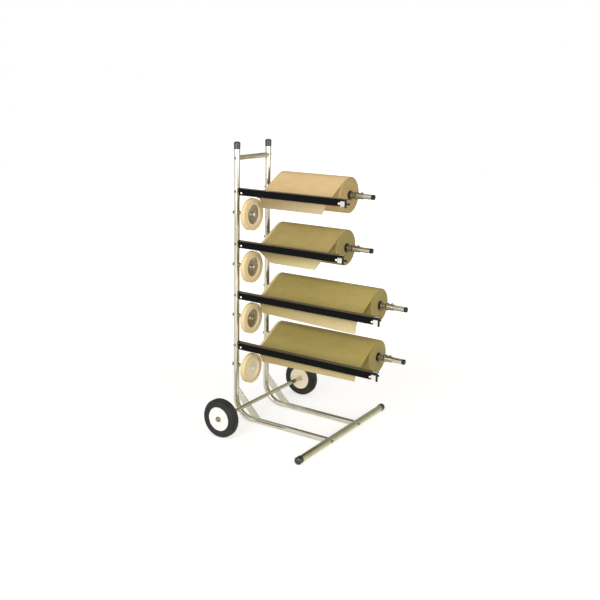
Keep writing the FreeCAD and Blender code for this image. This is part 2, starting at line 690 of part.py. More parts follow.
def cutter_bar(level):
    """Black steel angle with a mounting tab and weld nut that a screw holds to the near upright."""
    body = new_body(f"cutter_bar_{level + 1}", y=f"-{HALF}", z=bar_z(level))
    front, back, half = f"-{BAR_FACE}", f"bar_size - {BAR_FACE}", "bar_size / 2"
    angle = new_sketch(body, "YZ", "bar_start")
    polygon(angle, [(front, f"-{half}"), (f"bar_thick - {BAR_FACE}", f"-{half}"),
                    (f"bar_thick - {BAR_FACE}", f"{half} - bar_thick"), (back, f"{half} - bar_thick"),
                    (back, half), (front, half)])
    pad(body, angle, f"{bar_end(level)} - bar_start")
    high, face = number(half), number(front)
    round_edges(body, "bar_round", lambda edge: abs(edge.BoundBox.ZMin - high) < 0.01
                and abs(edge.BoundBox.YMax - face) < 0.01)
    tab = new_sketch(body, "XZ", f"-({TUBE} + bar_thick)")
    box_outline(tab, f"-{TUBE} - tab_past", f"-{half}", "tab_reach", half)
    pad(body, tab, "bar_thick")
    nut = new_sketch(body, "XZ", f"-({TUBE} + bar_thick + screw_high)")
    circle(nut, "screw_flats")
    pad(body, nut, "screw_high")
    holes = new_sketch(body, "XZ")
    circle(holes, "screw_dia")
    for place_x in rivet_places(level):
        circle(holes, "rivet_dia", place_x, "-rivet_drop")
    pocket(body, holes)
    return name_node(body, body.Name)


def cutter_blade(level):
    """Thin serrated strip riveted on the face of the bar, its teeth just below the bar."""
    start = "bar_start + blade_inset"
    body = new_body(f"cutter_blade_{level + 1}", start, f"-{HALF} - {BAR_FACE}", bar_z(level))
    long = f"({bar_end(level)} - clip_width - bar_start - 2 * blade_inset)"
    tip = "-(bar_size / 2 + tooth_show)"
    strip = new_sketch(body, "XZ")
    box_outline(strip, "0", tip, long, f"blade_tall + {tip}")
    pad(body, strip, "blade_thick")
    holes = new_sketch(body, "XZ")
    for place_x in rivet_places(level):
        circle(holes, "rivet_dia", f"{place_x} - bar_start - blade_inset", "-rivet_drop")
    pocket(body, holes)
    gullet = new_sketch(body, "XZ")
    below = f"{tip} - tooth_show"
    polygon(gullet, [("tooth_land", below), ("tooth_pitch - tooth_land", below),
                     ("tooth_pitch / 2", f"{tip} + tooth_deep")])
    notch = pocket(body, gullet)
    count = int(number(long) / number("tooth_pitch"))
    teeth = body.newObject("PartDesign::LinearPattern", body.Name + "_teeth")
    teeth.Originals = [notch]
    teeth.Direction = (gullet, ["H_Axis"])
    teeth.Occurrences = count
    drive(teeth, Length=f"{count - 1} * tooth_pitch")
    body.Tip = teeth
    doc.recompute()
    return body


def rivet(level, index):
    """Round headed rivet through the blade and the bar."""
    face, middle = f"-{HALF} - {BAR_FACE} - blade_thick", f"{bar_z(level)} - rivet_drop"
    body = new_body(f"rivet_{level + 1}_{index}", rivet_places(level)[index], face, middle)
    back, shank = "blade_thick + bar_thick", "rivet_dia / 2"
    dome = new_sketch(body, "XY")
    polygon(dome, [("0", back), ("0", "-rivet_rise"), ("rivet_head * 0.25", "-rivet_rise * 0.9"),
                   ("rivet_head * 0.43", "-rivet_rise * 0.55"), ("rivet_head / 2", "0"),
                   (shank, "0"), (shank, back)])
    revolve(body, dome, "V_Axis")
    return body


def end_clip(level):
    """Bright folded sheet over the front and top of the bar, just before its end."""
    start = f"{bar_end(level)} - clip_width"
    body = new_body(f"end_clip_{level + 1}", start, f"-{HALF} - {BAR_FACE}", bar_z(level))
    fold = new_sketch(body, "YZ")
    polygon(fold, [("-clip_thick", "-bar_size / 2"), ("0", "-bar_size / 2"), ("0", "bar_size / 2"),
                   ("clip_reach", "bar_size / 2"), ("clip_reach", "bar_size / 2 + clip_thick"),
                   ("-clip_thick", "bar_size / 2 + clip_thick")])
    pad(body, fold, "clip_width")
    for depth, radius in (("0", "bar_round"), ("clip_thick", "bar_round + clip_thick")):
        face, high = -number(depth), number(f"bar_size / 2 + {depth}")
        round_edges(body, radius, lambda edge: abs(edge.BoundBox.ZMin - high) < 0.01
                    and abs(edge.BoundBox.YMax - face) < 0.01)
    return body


def end_guard(level):
    """Black moulded guard on the end of the bar, with a lug that stands out of its side."""
    body = new_body(f"end_guard_{level + 1}", bar_end(level), f"-{HALF} - {BAR_FACE}", bar_z(level))
    plate = new_sketch(body, "YZ")
    box_outline(plate, "-clip_thick", "-bar_size / 2 - guard_drop", "guard_deep - clip_thick",
                "bar_size / 2 + clip_thick")
    pad(body, plate, "guard_thick")
    back, middle = "guard_deep - clip_thick - lug_inset", LEVELS[level]["lug_up"]
    lug = new_sketch(body, "YZ", "guard_thick")
    box_outline(lug, f"{back} - lug_wide", f"{middle} - lug_high / 2", back, f"{middle} + lug_high / 2")
    pad(body, lug, LEVELS[level]["lug"])
    return body


def tape_hub(level):
    """Dished steel disc inside the tape's core, turning on its bolt."""
    body = new_body(f"tape_hub_{level + 1}", "tape_start", f"-{HALF}", tape_z(level))
    face, back = "tape_width - hub_recess", "tape_width - hub_recess - hub_wall"
    rim, inside = "tape_core / 2", "tape_core / 2 - hub_wall"
    bore, bush = "rod_dia / 2 + run_gap", "rod_flats / 2 + bush_rim"
    dish = new_sketch(body, "XY")
    polygon(dish, [("0", rim), ("0", inside), (back, inside), (back, bush), ("hub_wall", bush),
                   ("hub_wall", bore), (face, bore), (face, rim)])
    revolve(body, dish, "H_Axis")
    return name_node(body, body.Name)


def tape_roll(level):
    """Wound masking tape on its cardboard core."""
    body = new_body(f"tape_roll_{level + 1}", "tape_start", f"-{HALF}", tape_z(level))
    ring_pad(body, "YZ", LEVELS[level]["tape"], "tape_core", "tape_width")
    return name_node(body, body.Name)


def stand(item, direction, x, y, z):
    """Point a screw or nut, made along its own Z, in one of the four level directions."""
    axis, turn = ALONG[direction]
    return place(item, x, y, z, axis, turn)


def fasteners():
    """The hexagon screws, tape bolts and nuts, each kind in one node."""
    frame = []
    size = ("screw_dia", "screw_long", "screw_flats", "screw_high")
    for side, sign in SIDES.items():
        handle = hex_screw(f"handle_screw_{side}", *size)
        inward = "+y" if side == "near" else "-y"
        frame.append(stand(handle, inward, "0", f"{sign} * ({HALF} + {TUBE})", HANDLE_Z))
        foot = hex_screw(f"foot_screw_{side}", *size)
        frame.append(stand(foot, "-x", "foot_reach + cross_dia / 2", f"{sign} * {HALF}", FOOT_Z))
    bars, bolts, nuts = [], [], []
    head = f"({HUB_FACE} + side_gap)"
    for level in range(len(LEVELS)):
        screw = hex_screw(f"spindle_screw_{level + 1}", *size)
        frame.append(stand(screw, "+x", f"-{TUBE}", HALF, spindle_z(level)))
        bar_long = "(tube_dia + bar_thick + screw_high)"
        screw = hex_screw(f"bar_screw_{level + 1}", "screw_dia", bar_long, "screw_flats", "screw_high")
        bars.append(stand(screw, "+y", "0", f"-{HALF} - {TUBE}", bar_z(level)))
        long = f"({head} + {ROD_BACK})"
        bolt = hex_screw(f"tape_bolt_{level + 1}", "rod_dia", long, "rod_flats", "rod_head")
        bolts.append(stand(bolt, "-x", head, f"-{HALF}", tape_z(level)))
        for place_x in (f"-{TUBE} - nut_high", TUBE, "tape_start + hub_wall - side_gap - nut_high"):
            nut = hex_nut(f"tape_nut_{level + 1}_{len(nuts)}", "rod_dia", "rod_flats", "nut_high")
            nuts.append(stand(nut, "+x", place_x, f"-{HALF}", tape_z(level)))
    group("frame_screws", frame)
    group("bar_screws", bars)
    group("tape_bolts", bolts)
    group("tape_nuts", nuts)


def build():
    fill_sheet()
    for side in SIDES:
        side_frame(side)
    handle_tube()
    front_cross_tube()
    group("gusset_straps", [gusset_strap(side) for side in SIDES])
    wheel_axle()
    for side in SIDES:
        wheel(side)
    group("axle_push_caps", [push_cap(side) for side in SIDES])
    group("upright_caps", [rubber_cap(f"upright_cap_{side}", "top_cap_wall", "tube_dia", "top_cap_depth",
                                      y=f"{sign} * {HALF}", z=f"{FRAME_TOP} - cap_end")
                           for side, sign in SIDES.items()])
    group("front_tube_caps", [rubber_cap(f"front_cap_{side}", "foot_cap_wall", "cross_dia", "foot_cap_depth",
                                         x="foot_reach", y=f"{sign} * cross_length / 2", z=FOOT_Z,
                                         axis=Vector(1, 0, 0), turn=-90 * sign)
                              for side, sign in SIDES.items()])
    levels = range(len(LEVELS))
    for level in levels:
        for make in (spindle, paper_roll, spindle_collar, paper_leaf, cutter_bar, tape_hub, tape_roll):
            make(level)
    group("spindle_caps", [spindle_cap(level) for level in levels])
    group("tension_springs", [tension_spring(level) for level in levels])
    group("cutter_blades", [cutter_blade(level) for level in levels])
    group("blade_rivets", [rivet(level, index) for level in levels for index in (0, 1)])
    group("bar_end_clips", [end_clip(level) for level in levels])
    group("bar_end_guards", [end_guard(level) for level in levels])
    fasteners()


def export():
    doc.recompute()
    for item in doc.Objects:
        if {"Invalid", "Error"} & set(item.State):
            raise RuntimeError(f"{item.Label}: {item.State}")
    for item in nodes:
        if item.Shape.isNull() or not item.Shape.isValid():
            raise RuntimeError(f"{item.Label}: no valid shape")
    os.makedirs("parts", exist_ok=True)
    for item in nodes:
        item.Shape.exportStep(f"parts/{item.Label}.step")
        print(f"{item.Label}: {len(item.Shape.Solids)} solids, {item.Shape.Volume / 1000:.1f} cm3")


build()
export()
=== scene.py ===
import bpy
import json
import math
import numpy as np
from mathutils import Matrix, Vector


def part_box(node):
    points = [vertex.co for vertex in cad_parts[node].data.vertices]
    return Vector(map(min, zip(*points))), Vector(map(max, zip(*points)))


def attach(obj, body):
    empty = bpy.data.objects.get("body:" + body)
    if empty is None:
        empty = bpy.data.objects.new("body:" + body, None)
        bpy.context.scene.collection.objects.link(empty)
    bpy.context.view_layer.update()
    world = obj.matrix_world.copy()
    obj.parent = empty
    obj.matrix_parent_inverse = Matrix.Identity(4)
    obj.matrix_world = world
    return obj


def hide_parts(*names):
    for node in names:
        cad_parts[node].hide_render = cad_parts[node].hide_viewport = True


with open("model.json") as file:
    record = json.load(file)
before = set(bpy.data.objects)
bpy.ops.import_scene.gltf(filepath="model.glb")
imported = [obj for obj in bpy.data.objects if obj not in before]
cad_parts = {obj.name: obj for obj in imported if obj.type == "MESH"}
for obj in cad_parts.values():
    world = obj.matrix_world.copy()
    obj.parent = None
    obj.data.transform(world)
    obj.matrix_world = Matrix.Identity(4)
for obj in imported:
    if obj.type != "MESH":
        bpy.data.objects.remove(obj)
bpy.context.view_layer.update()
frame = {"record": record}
body_of = {node: body for body, members in frame["record"]["behaviour"]["bodies"].items()
           for node in members}
mm = 0.001


# Side frames: two lengths of drawn steel tube, each bent once into an upright
# and a foot over a roller, so the bend keeps its round section.  They are bright
# zinc plated after bending, and everything else is screwed or welded to them.
def linear(code):
    """sRGB hex to linear light: a straight part near black, then a 2.4 power."""
    levels = np.array([int(code[at:at + 2], 16) for at in (1, 3, 5)]) / 255
    lit = np.where(levels <= 0.04045, levels / 12.92, ((levels + 0.055) / 1.055) ** 2.4)
    return (*lit.tolist(), 1.0)


def add_node(owner, kind, inputs=None, out=0, **settings):
    """Adds one shader node and gives one of its outputs, by number or by name.

    Each input is a value, or the output of another node that feeds it.
    """
    made = owner.node_tree.nodes.new("ShaderNode" + kind)
    for name, value in settings.items():
        setattr(made, name, value)
    for name, value in (inputs or {}).items():
        if isinstance(value, bpy.types.NodeSocket):
            owner.node_tree.links.new(value, made.inputs[name])
        else:
            made.inputs[name].default_value = value
    return made.outputs[out]


def new_finish(name, constants, sources):
    """A material: values that are the same all over sit on the shader's own sockets.

    The rest come from `sources`: the colour mixes two by a share, the roughness runs between
    two values over the middle of a noise, and the normal is raised by a height.
    """
    made = bpy.data.materials.new(name)
    made.use_nodes = True
    shader = made.node_tree.nodes["Principled BSDF"]
    for socket, value in constants.items():
        shader.inputs[socket].default_value = value
    for socket, (source, start, stop) in sources(made).items():
        kind, inputs, out, settings = {
            "Base Color": ("Mix", {0: source, 6: start, 7: stop}, 2, {"data_type": "RGBA"}),
            "Roughness": ("MapRange", {0: source, 1: 0.3, 2: 0.7, 3: start, 4: stop}, 0, {}),
            "Normal": ("Bump", {"Height": source, "Strength": start, "Distance": stop}, 0, {}),
        }[socket]
        made.node_tree.links.new(add_node(made, kind, inputs, out, **settings),
                                 shader.inputs[socket])
    return made


def plated(name, bright, dull, low, high, lines):
    """Zinc or nickel plate on steel.  It mirrors its surroundings softly, clouded by the
    passivate film, with faint lines along the drawn tube.  The real lines are about 0.3 mm
    apart and are drawn 1 mm apart."""
    def parts(made):
        place = add_node(made, "TexCoord", out="Object")
        film = add_node(made, "TexNoise", {"Vector": place, "Scale": 25.0, "Detail": 2.0})
        along = add_node(made, "Mapping", {"Vector": add_node(made, "UVMap"), "Scale": lines})
        drawn = add_node(made, "TexNoise", {"Vector": along, "Scale": 1.0, "Detail": 1.0})
        return {
            "Base Color": (film, linear(bright), linear(dull)),
            "Roughness": (film, low, high),
            "Normal": (drawn, 0.3, 0.002 * mm)}
    return new_finish(name, {"Metallic": 1.0}, parts)


def shell(grid, loop=False):
    """Quads between neighbours of a grid of points whose every row closes on itself.

    The map of a corner is the distance walked down its column and round its row.  Open
    columns end in flat lids.  The sign of the enclosed volume turns all faces outward.
    """
    rows, columns = grid.shape[:2]
    tall = np.concatenate([grid, grid[:1]]) if loop else grid
    wide = np.concatenate([tall, tall[:, :1]], axis=1)
    down = np.cumsum(np.linalg.norm(np.diff(wide, axis=0), axis=2), axis=0)
    over = np.cumsum(np.linalg.norm(np.diff(wide, axis=1), axis=2), axis=1)
    walked = np.stack([np.pad(down, ((1, 0), (0, 0))), np.pad(over, ((0, 0), (1, 0)))], -1)
    i, j = np.meshgrid(np.arange(len(wide) - 1), np.arange(columns), indexing="ij")
    corners = [(0, 0), (0, 1), (1, 1), (1, 0)]
    quads = np.stack([(i + a) % rows * columns + (j + b) % columns for a, b in corners], -1)
    quads = quads.reshape(-1, 4)
    places = np.stack([walked[i + a, j + b] for a, b in corners], 2).reshape(-1, 4, 2)
    points = grid.reshape(-1, 3)
    lids = [] if loop else [np.arange(columns)[::-1], (rows - 1) * columns + np.arange(columns)]
    middle = points.mean(axis=0)
    fans = [points[quads[:, k]] - middle for k in range(4)]
    volume = np.sum(fans[0] * (np.cross(fans[1], fans[2]) + np.cross(fans[2], fans[3])))
    for lid in lids:
        rim = points[lid] - middle
        volume += np.sum(rim[0] * np.cross(rim[1:-1], rim[2:]))
    if volume < 0:
        quads, places, lids = quads[:, ::-1], places[:, ::-1], [lid[::-1] for lid in lids]
    flat = [points[lid] @ np.array([[0.8, 0.0], [0.1, 0.8], [0.6, 0.6]]) for lid in lids]
    faces = quads.tolist() + [lid.tolist() for lid in lids]
    return points, faces, np.concatenate([places.reshape(-1, 2)] + flat)


def piece(name, shells, finish, slot, *nodes, bevel=0.0, crease=35):
    """One object of closed shells that stands for CAD nodes and moves with their body."""
    starts = np.cumsum([0] + [len(points) for points, faces, places in shells])
    mesh = bpy.data.meshes.new(name)
    mesh.from_pydata(np.concatenate([points for points, faces, places in shells]).tolist(), [],
                     [[index + int(start) for index in face]
                      for (points, faces, places), start in zip(shells, starts)
                      for face in faces])
    mesh.uv_layers.new(name="walked").data.foreach_set(
        "uv", np.concatenate([places for points, faces, places in shells]).ravel())
    mesh.materials.append(finish)
    mesh.polygons.foreach_set("use_smooth", np.ones(len(mesh.polygons), dtype=bool))
    mesh.set_sharp_from_angle(angle=math.radians(crease))
    made = bpy.data.objects.new(name, mesh)
    bpy.context.collection.objects.link(made)
    if bevel:
        edge = made.modifiers.new("eased edges", "BEVEL")
        edge.width, edge.segments = bevel, 2
        edge.limit_method, edge.angle_limit = "ANGLE", math.radians(40)
        edge.harden_normals = True
    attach(made, body_of[nodes[0]])
    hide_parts(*nodes)
    return made


def middle_of(node):
    """The middle, the low corner and the high corner of a node's box."""
    low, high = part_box(node)
    return np.array((low + high) / 2), np.array(low), np.array(high)


def carried(path, section, across):
    """A flat outline carried along a path: path + u side + v (heading x side), where side
    is square to the path and nearest to `across`."""
    path = np.asarray(path, float)
    heading = np.gradient(path, axis=0)
    heading /= np.linalg.norm(heading, axis=1, keepdims=True)
    side = across - heading * np.sum(heading * across, axis=1, keepdims=True)
    side /= np.linalg.norm(side, axis=1, keepdims=True)
    rise = np.cross(heading, side)
    return path[:, None] + side[:, None] * section[..., :1] + rise[:, None] * section[..., 1:]


def round_section(radius, count=40):
    """A circle: radius times the cosine and sine of evenly spaced angles."""
    angle = np.linspace(0, 2 * math.pi, count, endpoint=False)
    return radius * np.stack([np.cos(angle), np.sin(angle)], -1)


bend, into_cross_tube = 77 * mm, 3 * mm
bright_tube = plated("bright_zinc_on_drawn_tube", "#e2ddcf", "#c9c4b2", 0.1, 0.17, (5, 900, 1))
for side in ("near", "far"):
    middle, low, high = middle_of(f"side_frame_{side}")
    tube_radius = (high[1] - low[1]) / 2
    upright_x, foot_z = low[0] + tube_radius, low[2] + tube_radius
    turn = np.linspace(math.pi, 1.5 * math.pi, 30)
    elbow = np.stack([upright_x + bend + bend * np.cos(turn), np.full(30, middle[1]),
                      foot_z + bend + bend * np.sin(turn)], -1)
    tip = (high[0] + into_cross_tube, middle[1], foot_z)
    path = np.concatenate([np.linspace((upright_x, middle[1], high[2]), elbow[0], 30)[:-1],
                           elbow, np.linspace(elbow[-1], tip, 16)[1:]])
    piece(f"bent_tube_{side}", [shell(carried(path, round_section(tube_radius), (0, 1, 0)))],
          bright_tube, "bright_tube", f"side_frame_{side}")
near_y, far_y = (middle_of(f"side_frame_{side}")[0][1] for side in ("near", "far"))


# Handle tube: a short, thinner length of the same tube between the uprights,
# coped to their round and held by a screw at each end.  Its zinc is given a duller,
# more olive colour, a painted reflection of darker surroundings.  It is gripped to
# tip the stand on its wheels.
coped = 6 * mm
middle, low, high = middle_of("handle_tube")
handle_radius = (high[2] - low[2]) / 2
# A duller olive copy of the bright zinc: its tint is a painted reflection.
zinc_with_painted_olive_reflection = plated("zinc_with_painted_olive_reflection_on_tube", "#d3cfaa", "#b8b48f", 0.14, 0.22,
                    (5, 900, 1))
grip_line = np.linspace((upright_x, near_y + coped, middle[2]),
                        (upright_x, far_y - coped, middle[2]), 12)
piece("handle_grip_tube", [shell(carried(grip_line, round_section(handle_radius), (1, 0, 0)))],
      zinc_with_painted_olive_reflection, "bright_tube", "handle_tube")


# Gusset straps: flat bars cut to 45 degrees, welded across each bend, with an open
# slot in the lower edge for the axle.  The welds are short rippled beads, plated
# over with the frame.
def extruded(outline, start, stop, u_way, v_way):
    """A flat outline moved straight from one point to another: point + u u_way + v v_way."""
    ends = np.linspace(np.asarray(start, float), np.asarray(stop, float), 2)
    flat = outline[:, :1] * np.asarray(u_way, float) + outline[:, 1:] * np.asarray(v_way, float)
    return ends[:, None] + flat[None]


def bead(start, stop, radius):
    """A weld: a round rod whose radius swells by a fifth with every 2.2 mm ripple and
    closes at its ends as the root of a sine."""
    path = np.linspace(np.asarray(start, float), np.asarray(stop, float), 60)
    gone = np.linspace(0, 1, 60)
    length = np.linalg.norm(path[-1] - path[0])
    ripple = 1 + 0.2 * np.sin(2 * math.pi * gone * length / (2.2 * mm))
    swell = ripple * np.sqrt(np.sin(math.pi * np.clip(gone, 0.01, 0.99)))
    return carried(path, round_section(radius, 12)[None] * swell[:, None, None], (0, 1, 0))


strap, half_thick, bead_radius, bead_out = 30 * mm, 2 * mm, 1.9 * mm, 0.6 * mm
axle_radius = 8 * mm
seat = middle_of("wheel_axle")[0]
inner_line = bend + foot_z + tube_radius
outer_line = inner_line + strap * math.sqrt(2)
bite = tube_radius - 1 * mm
ledge = foot_z + bite
slot = np.linspace(-0.25 * math.pi, -1.25 * math.pi, 16)
centre = np.array([seat[0] - upright_x, seat[2]])
seat_round = centre + axle_radius * np.stack([np.cos(slot), np.sin(slot)], -1)
to_edge = (outer_line - centre.sum()) / 2
strap_outline = np.array([
    (bite, inner_line - bite), (inner_line - ledge, ledge), (outer_line - ledge, ledge),
    seat_round[0] + to_edge, *seat_round, seat_round[-1] + to_edge, (bite, outer_line - bite)])
weld = tube_radius + bead_out
straps, beads = [], []
for y in (near_y, far_y):
    straps.append(shell(extruded(strap_outline, (upright_x, y - half_thick, 0),
                                 (upright_x, y + half_thick, 0), (1, 0, 0), (0, 0, 1))))
    for way in (-1, 1):
        ends = [((weld, inner_line - tube_radius + 2 * mm),
                 (weld, outer_line - tube_radius - 2 * mm)),
                ((inner_line - ledge, foot_z + weld), (outer_line - ledge - 3 * mm, foot_z + weld))]
        side_y = y + way * (half_thick + 0.4 * mm)
        beads += [shell(bead(*((upright_x + u, side_y, v) for u, v in pair), bead_radius))
                  for pair in ends]
weld_zinc = plated("dull_zinc_on_weld", "#cfccc0", "#a9a594", 0.25, 0.4, (300, 300, 1))
piece("gusset_flat_bars", straps, bright_tube, "bright_tube", "gusset_straps", bevel=0.5 * mm)
piece("gusset_weld_beads", beads, weld_zinc, "bright_tube", "gusset_straps")


# Wheel axle: solid bright drawn bar laid in the two seats and welded there, with
# a ridge rolled up behind each wheel.  A cap nut of olive passivated spring
# steel is pressed on each end and keeps the wheel on.
def turned(profile, centre, way, count=48):
    """A profile of (along, radius) turned about an axis:
    centre + along a + radius (b cos t + c sin t)."""
    a = np.asarray(way, float)
    b = np.roll(a, 1)
    c = np.cross(a, b)
    t = np.linspace(0, 2 * math.pi, count, endpoint=False)
    profile = np.asarray(profile, float)
    rim = b * np.cos(t)[:, None] + c * np.sin(t)[:, None]
    return np.asarray(centre, float) + profile[:, :1, None] * a + profile[:, 1:, None] * rim[None]


def eased(corners, radius, steps=4, closed=False):
    """An outline with each corner cut back by a radius and bridged by a parabola through it."""
    corners = np.asarray(corners, float)
    count = len(corners)
    radii = np.broadcast_to(radius, count)
    t = np.linspace(0, 1, steps + 1)[:, None]
    points = []
    for index in range(count):
        here = corners[index]
        if not closed and index in (0, count - 1) or radii[index] == 0:
            points.append(here[None])
            continue
        back, ahead = corners[index - 1] - here, corners[(index + 1) % count] - here
        cut = [way / np.linalg.norm(way) * min(radii[index], 0.49 * np.linalg.norm(way))
               for way in (back, ahead)]
        points.append(here + (1 - t) ** 2 * cut[0] + t ** 2 * cut[1])
    return np.concatenate(points)


axle_middle, low, high = middle_of("wheel_axle")
caps_low, caps_high = middle_of("axle_push_caps")[1:]
hub_low, hub_high = middle_of("wheel_near_hub")[1:]
reach = (high[1] - low[1]) / 2
ridge_wide, ridge_high, hair = 2 * mm, 2 * mm, 0.3 * mm
ridge = reach - 7 * mm - (hub_high[1] - hub_low[1]) + 8.2 * mm
outward = [(ridge - ridge_wide, axle_radius), (ridge - ridge_wide, axle_radius + ridge_high),
           (ridge, axle_radius + ridge_high), (ridge, axle_radius), (reach, axle_radius),
           (reach, hair)]
axle_profile = [(-along, radius) for along, radius in outward[::-1]] + outward
# The axle bar takes the olive copy of the zinc, a painted reflection.
piece("axle_bar", [shell(turned(eased(axle_profile, 0.8 * mm),
                                (axle_middle[0], 0, axle_middle[2]), (0, 1, 0)))],
      zinc_with_painted_olive_reflection, "bright_tube", "wheel_axle")
yellow_zinc = plated("olive_passivated_zinc", "#a89f74", "#6f663c", 0.2, 0.34, (200, 200, 1))
cap_radius, cap_deep, dimple = (caps_high[2] - caps_low[2]) / 2, 8.6 * mm, 6.8 * mm
cup = eased([(0, hair), (0, cap_radius), (4.5 * mm, cap_radius), (cap_deep, cap_radius - 3 * mm),
             (cap_deep, 5.5 * mm), (dimple, 4.5 * mm), (dimple, hair)],
            np.array([0, 0.6, 1.5, 1.2, 0.8, 0.8, 0]) * mm)
piece("axle_cap_nuts", [shell(turned(cup, (axle_middle[0], y, axle_middle[2]), (0, way, 0)))
                        for y, way in ((caps_low[1] + cap_deep, -1), (caps_high[1] - cap_deep, 1))],
      yellow_zinc, "zinc_plate", "axle_push_caps")


# Wheels: a solid black rubber tyre with grooves and a thin rib on each shoulder,
# stretched over a hub of two pressed steel discs, the outer one nearly flat and
# the inner one dished.  Both are enamelled white; the inner side is creamier and
# painted lighter, to make up for the shade it faces into.
def rubber(name, dark, worn, rough, grain, shine):
    """Moulded black rubber: dusty on its high places, with a fine moulded grain."""
    def parts(made):
        place = add_node(made, "TexCoord", out="Object")
        dust = add_node(made, "TexNoise", {"Vector": place, "Scale": 45.0, "Detail": 5.0})
        pores = add_node(made, "TexNoise", {"Vector": place, "Scale": grain, "Detail": 2.0})
        dusty = add_node(made, "MapRange", {0: dust, 1: 0.4, 2: 0.75, 3: 0, 4: 1})
        return {
            "Base Color": (dusty, linear(dark), linear(worn)),
            "Roughness": (dust, rough, rough + 0.15),
            "Normal": (pores, 0.5, 0.15 * mm)}
    return new_finish(name, {"Specular IOR Level": shine}, parts)


def enamel(name, outer, inner, split):
    """Baked enamel: smooth and glossy with a slight orange peel, its two sides split at |y|,
    so that one side can carry painted light where it stands in shade.
    """
    def parts(made):
        place = add_node(made, "TexCoord", out="Object")
        across = add_node(made, "SeparateXYZ", {0: place}, out="Y")
        depth = add_node(made, "Math", {0: across}, operation="ABSOLUTE")
        side = add_node(made, "MapRange", {0: depth, 1: split - 3 * mm, 2: split + 3 * mm,
                                           3: 0, 4: 1})
        colour = add_node(made, "Mix", {0: side, 6: linear(inner), 7: linear(outer)},
                          out=2, data_type="RGBA")
        stain = add_node(made, "TexNoise", {"Vector": place, "Scale": 35.0, "Detail": 5.0})
        stained = add_node(made, "MapRange", {0: stain, 1: 0.55, 2: 0.8, 3: 0, 4: 0.12})
        peel = add_node(made, "TexNoise", {"Vector": place, "Scale": 500.0, "Detail": 1.0})
        return {
            "Base Color": (stained, colour, linear("#b8a888")),
            "Roughness": (stain, 0.28, 0.42),
            "Normal": (peel, 0.5, 0.06 * mm)}
    return new_finish(name, {}, parts)


tyre_rubber = rubber("black_tyre_rubber", "#12120d", "#292820", 0.33, 900, 0.38)
# The inner colour is creamier and painted lighter: painted light on the shaded inner side.
hub_enamel = enamel("white_enamel_on_steel", "#eeede9", "#fff2da", 279 * mm)
hub_radius, shoulder, run_gap = 46.5 * mm, 12 * mm, 0.1 * mm
# Depth, distance from the crown and half width of two grooves and a raised rib, in mm.
grooves = ((2.4, 5, 1.5), (2.2, 14, 1.5), (-0.8, 17.5, 1.0))
for side, way in (("near", -1), ("far", 1)):
    middle, low, high = middle_of(f"wheel_{side}_tyre")
    wheel_radius, half = (high[2] - low[2]) / 2, (high[1] - low[1]) / 2
    turn = np.linspace(0, 0.5 * math.pi, 40)[:, None]
    round_way = np.concatenate([np.cos(turn), np.sin(turn)], 1)
    arc = np.array([half, wheel_radius]) - shoulder + shoulder * round_way
    tread = np.concatenate([arc, np.linspace(arc[-1], (0, wheel_radius), 20)[1:]])
    steps = np.linalg.norm(np.diff(tread[::-1], axis=0, prepend=tread[-1:]), axis=1)
    crown_gap = np.cumsum(steps)[::-1]
    outward = np.concatenate([round_way, np.tile([0.0, 1.0], (19, 1))])
    dip = sum(deep * mm * np.exp(-((crown_gap - place * mm) / (wide * mm)) ** 2)
              for deep, place, wide in grooves)
    wall = [(half - 3 * mm, hub_radius), (half - 0.4 * mm, hub_radius),
            (half, hub_radius + 2 * mm), (half, hub_radius + 5 * mm),
            (half - 0.9 * mm, hub_radius + 6.4 * mm), (half - 0.6 * mm, hub_radius + 12 * mm)]
    flank = np.concatenate([eased(wall, 0.4 * mm, 3), tread - outward * dip[:, None]])
    outline = np.concatenate([flank, flank[-2::-1] * (-1, 1)])
    piece(f"tyre_{side}", [shell(turned(outline, middle, (0, way, 0), 96), loop=True)],
          tyre_rubber, "tyre_rubber", f"wheel_{side}_tyre")
    middle, low, high = middle_of(f"wheel_{side}_hub")
    half, lip, barrel = (high[1] - low[1]) / 2, hub_radius - 3 * mm, 13 * mm
    bore = axle_radius + run_gap
    outline = eased([(8.6 * mm - half, bore), (2 * mm - half, lip), (-half, lip),
                     (-half, hub_radius), (half, hub_radius), (half, lip),
                     (half - 1.5 * mm, lip), (half - 3 * mm, barrel), (half, barrel), (half, bore)],
                    np.array([0.4, 2, 1.2, 0.6, 0.6, 1.2, 2, 2, 0.8, 0.4]) * mm, closed=True)
    piece(f"hub_{side}", [shell(turned(outline, middle, (0, way, 0), 96), loop=True)],
          hub_enamel, "white_hub", f"wheel_{side}_hub")


# Front cross tube: one straight tube that both feet are coped to and screwed
# against.  Its ends stand on the floor through their rubber caps.
cross_middle, low, high = middle_of("front_cross_tube")
cross_radius = (high[2] - low[2]) / 2
cross_line = np.linspace((cross_middle[0], low[1], cross_middle[2]),
                         (cross_middle[0], high[1], cross_middle[2]), 24)
# The foot tube takes the olive copy of the zinc, a painted reflection.
piece("front_foot_tube", [shell(carried(cross_line, round_section(cross_radius), (1, 0, 0)))],
      zinc_with_painted_olive_reflection, "bright_tube", "front_cross_tube")


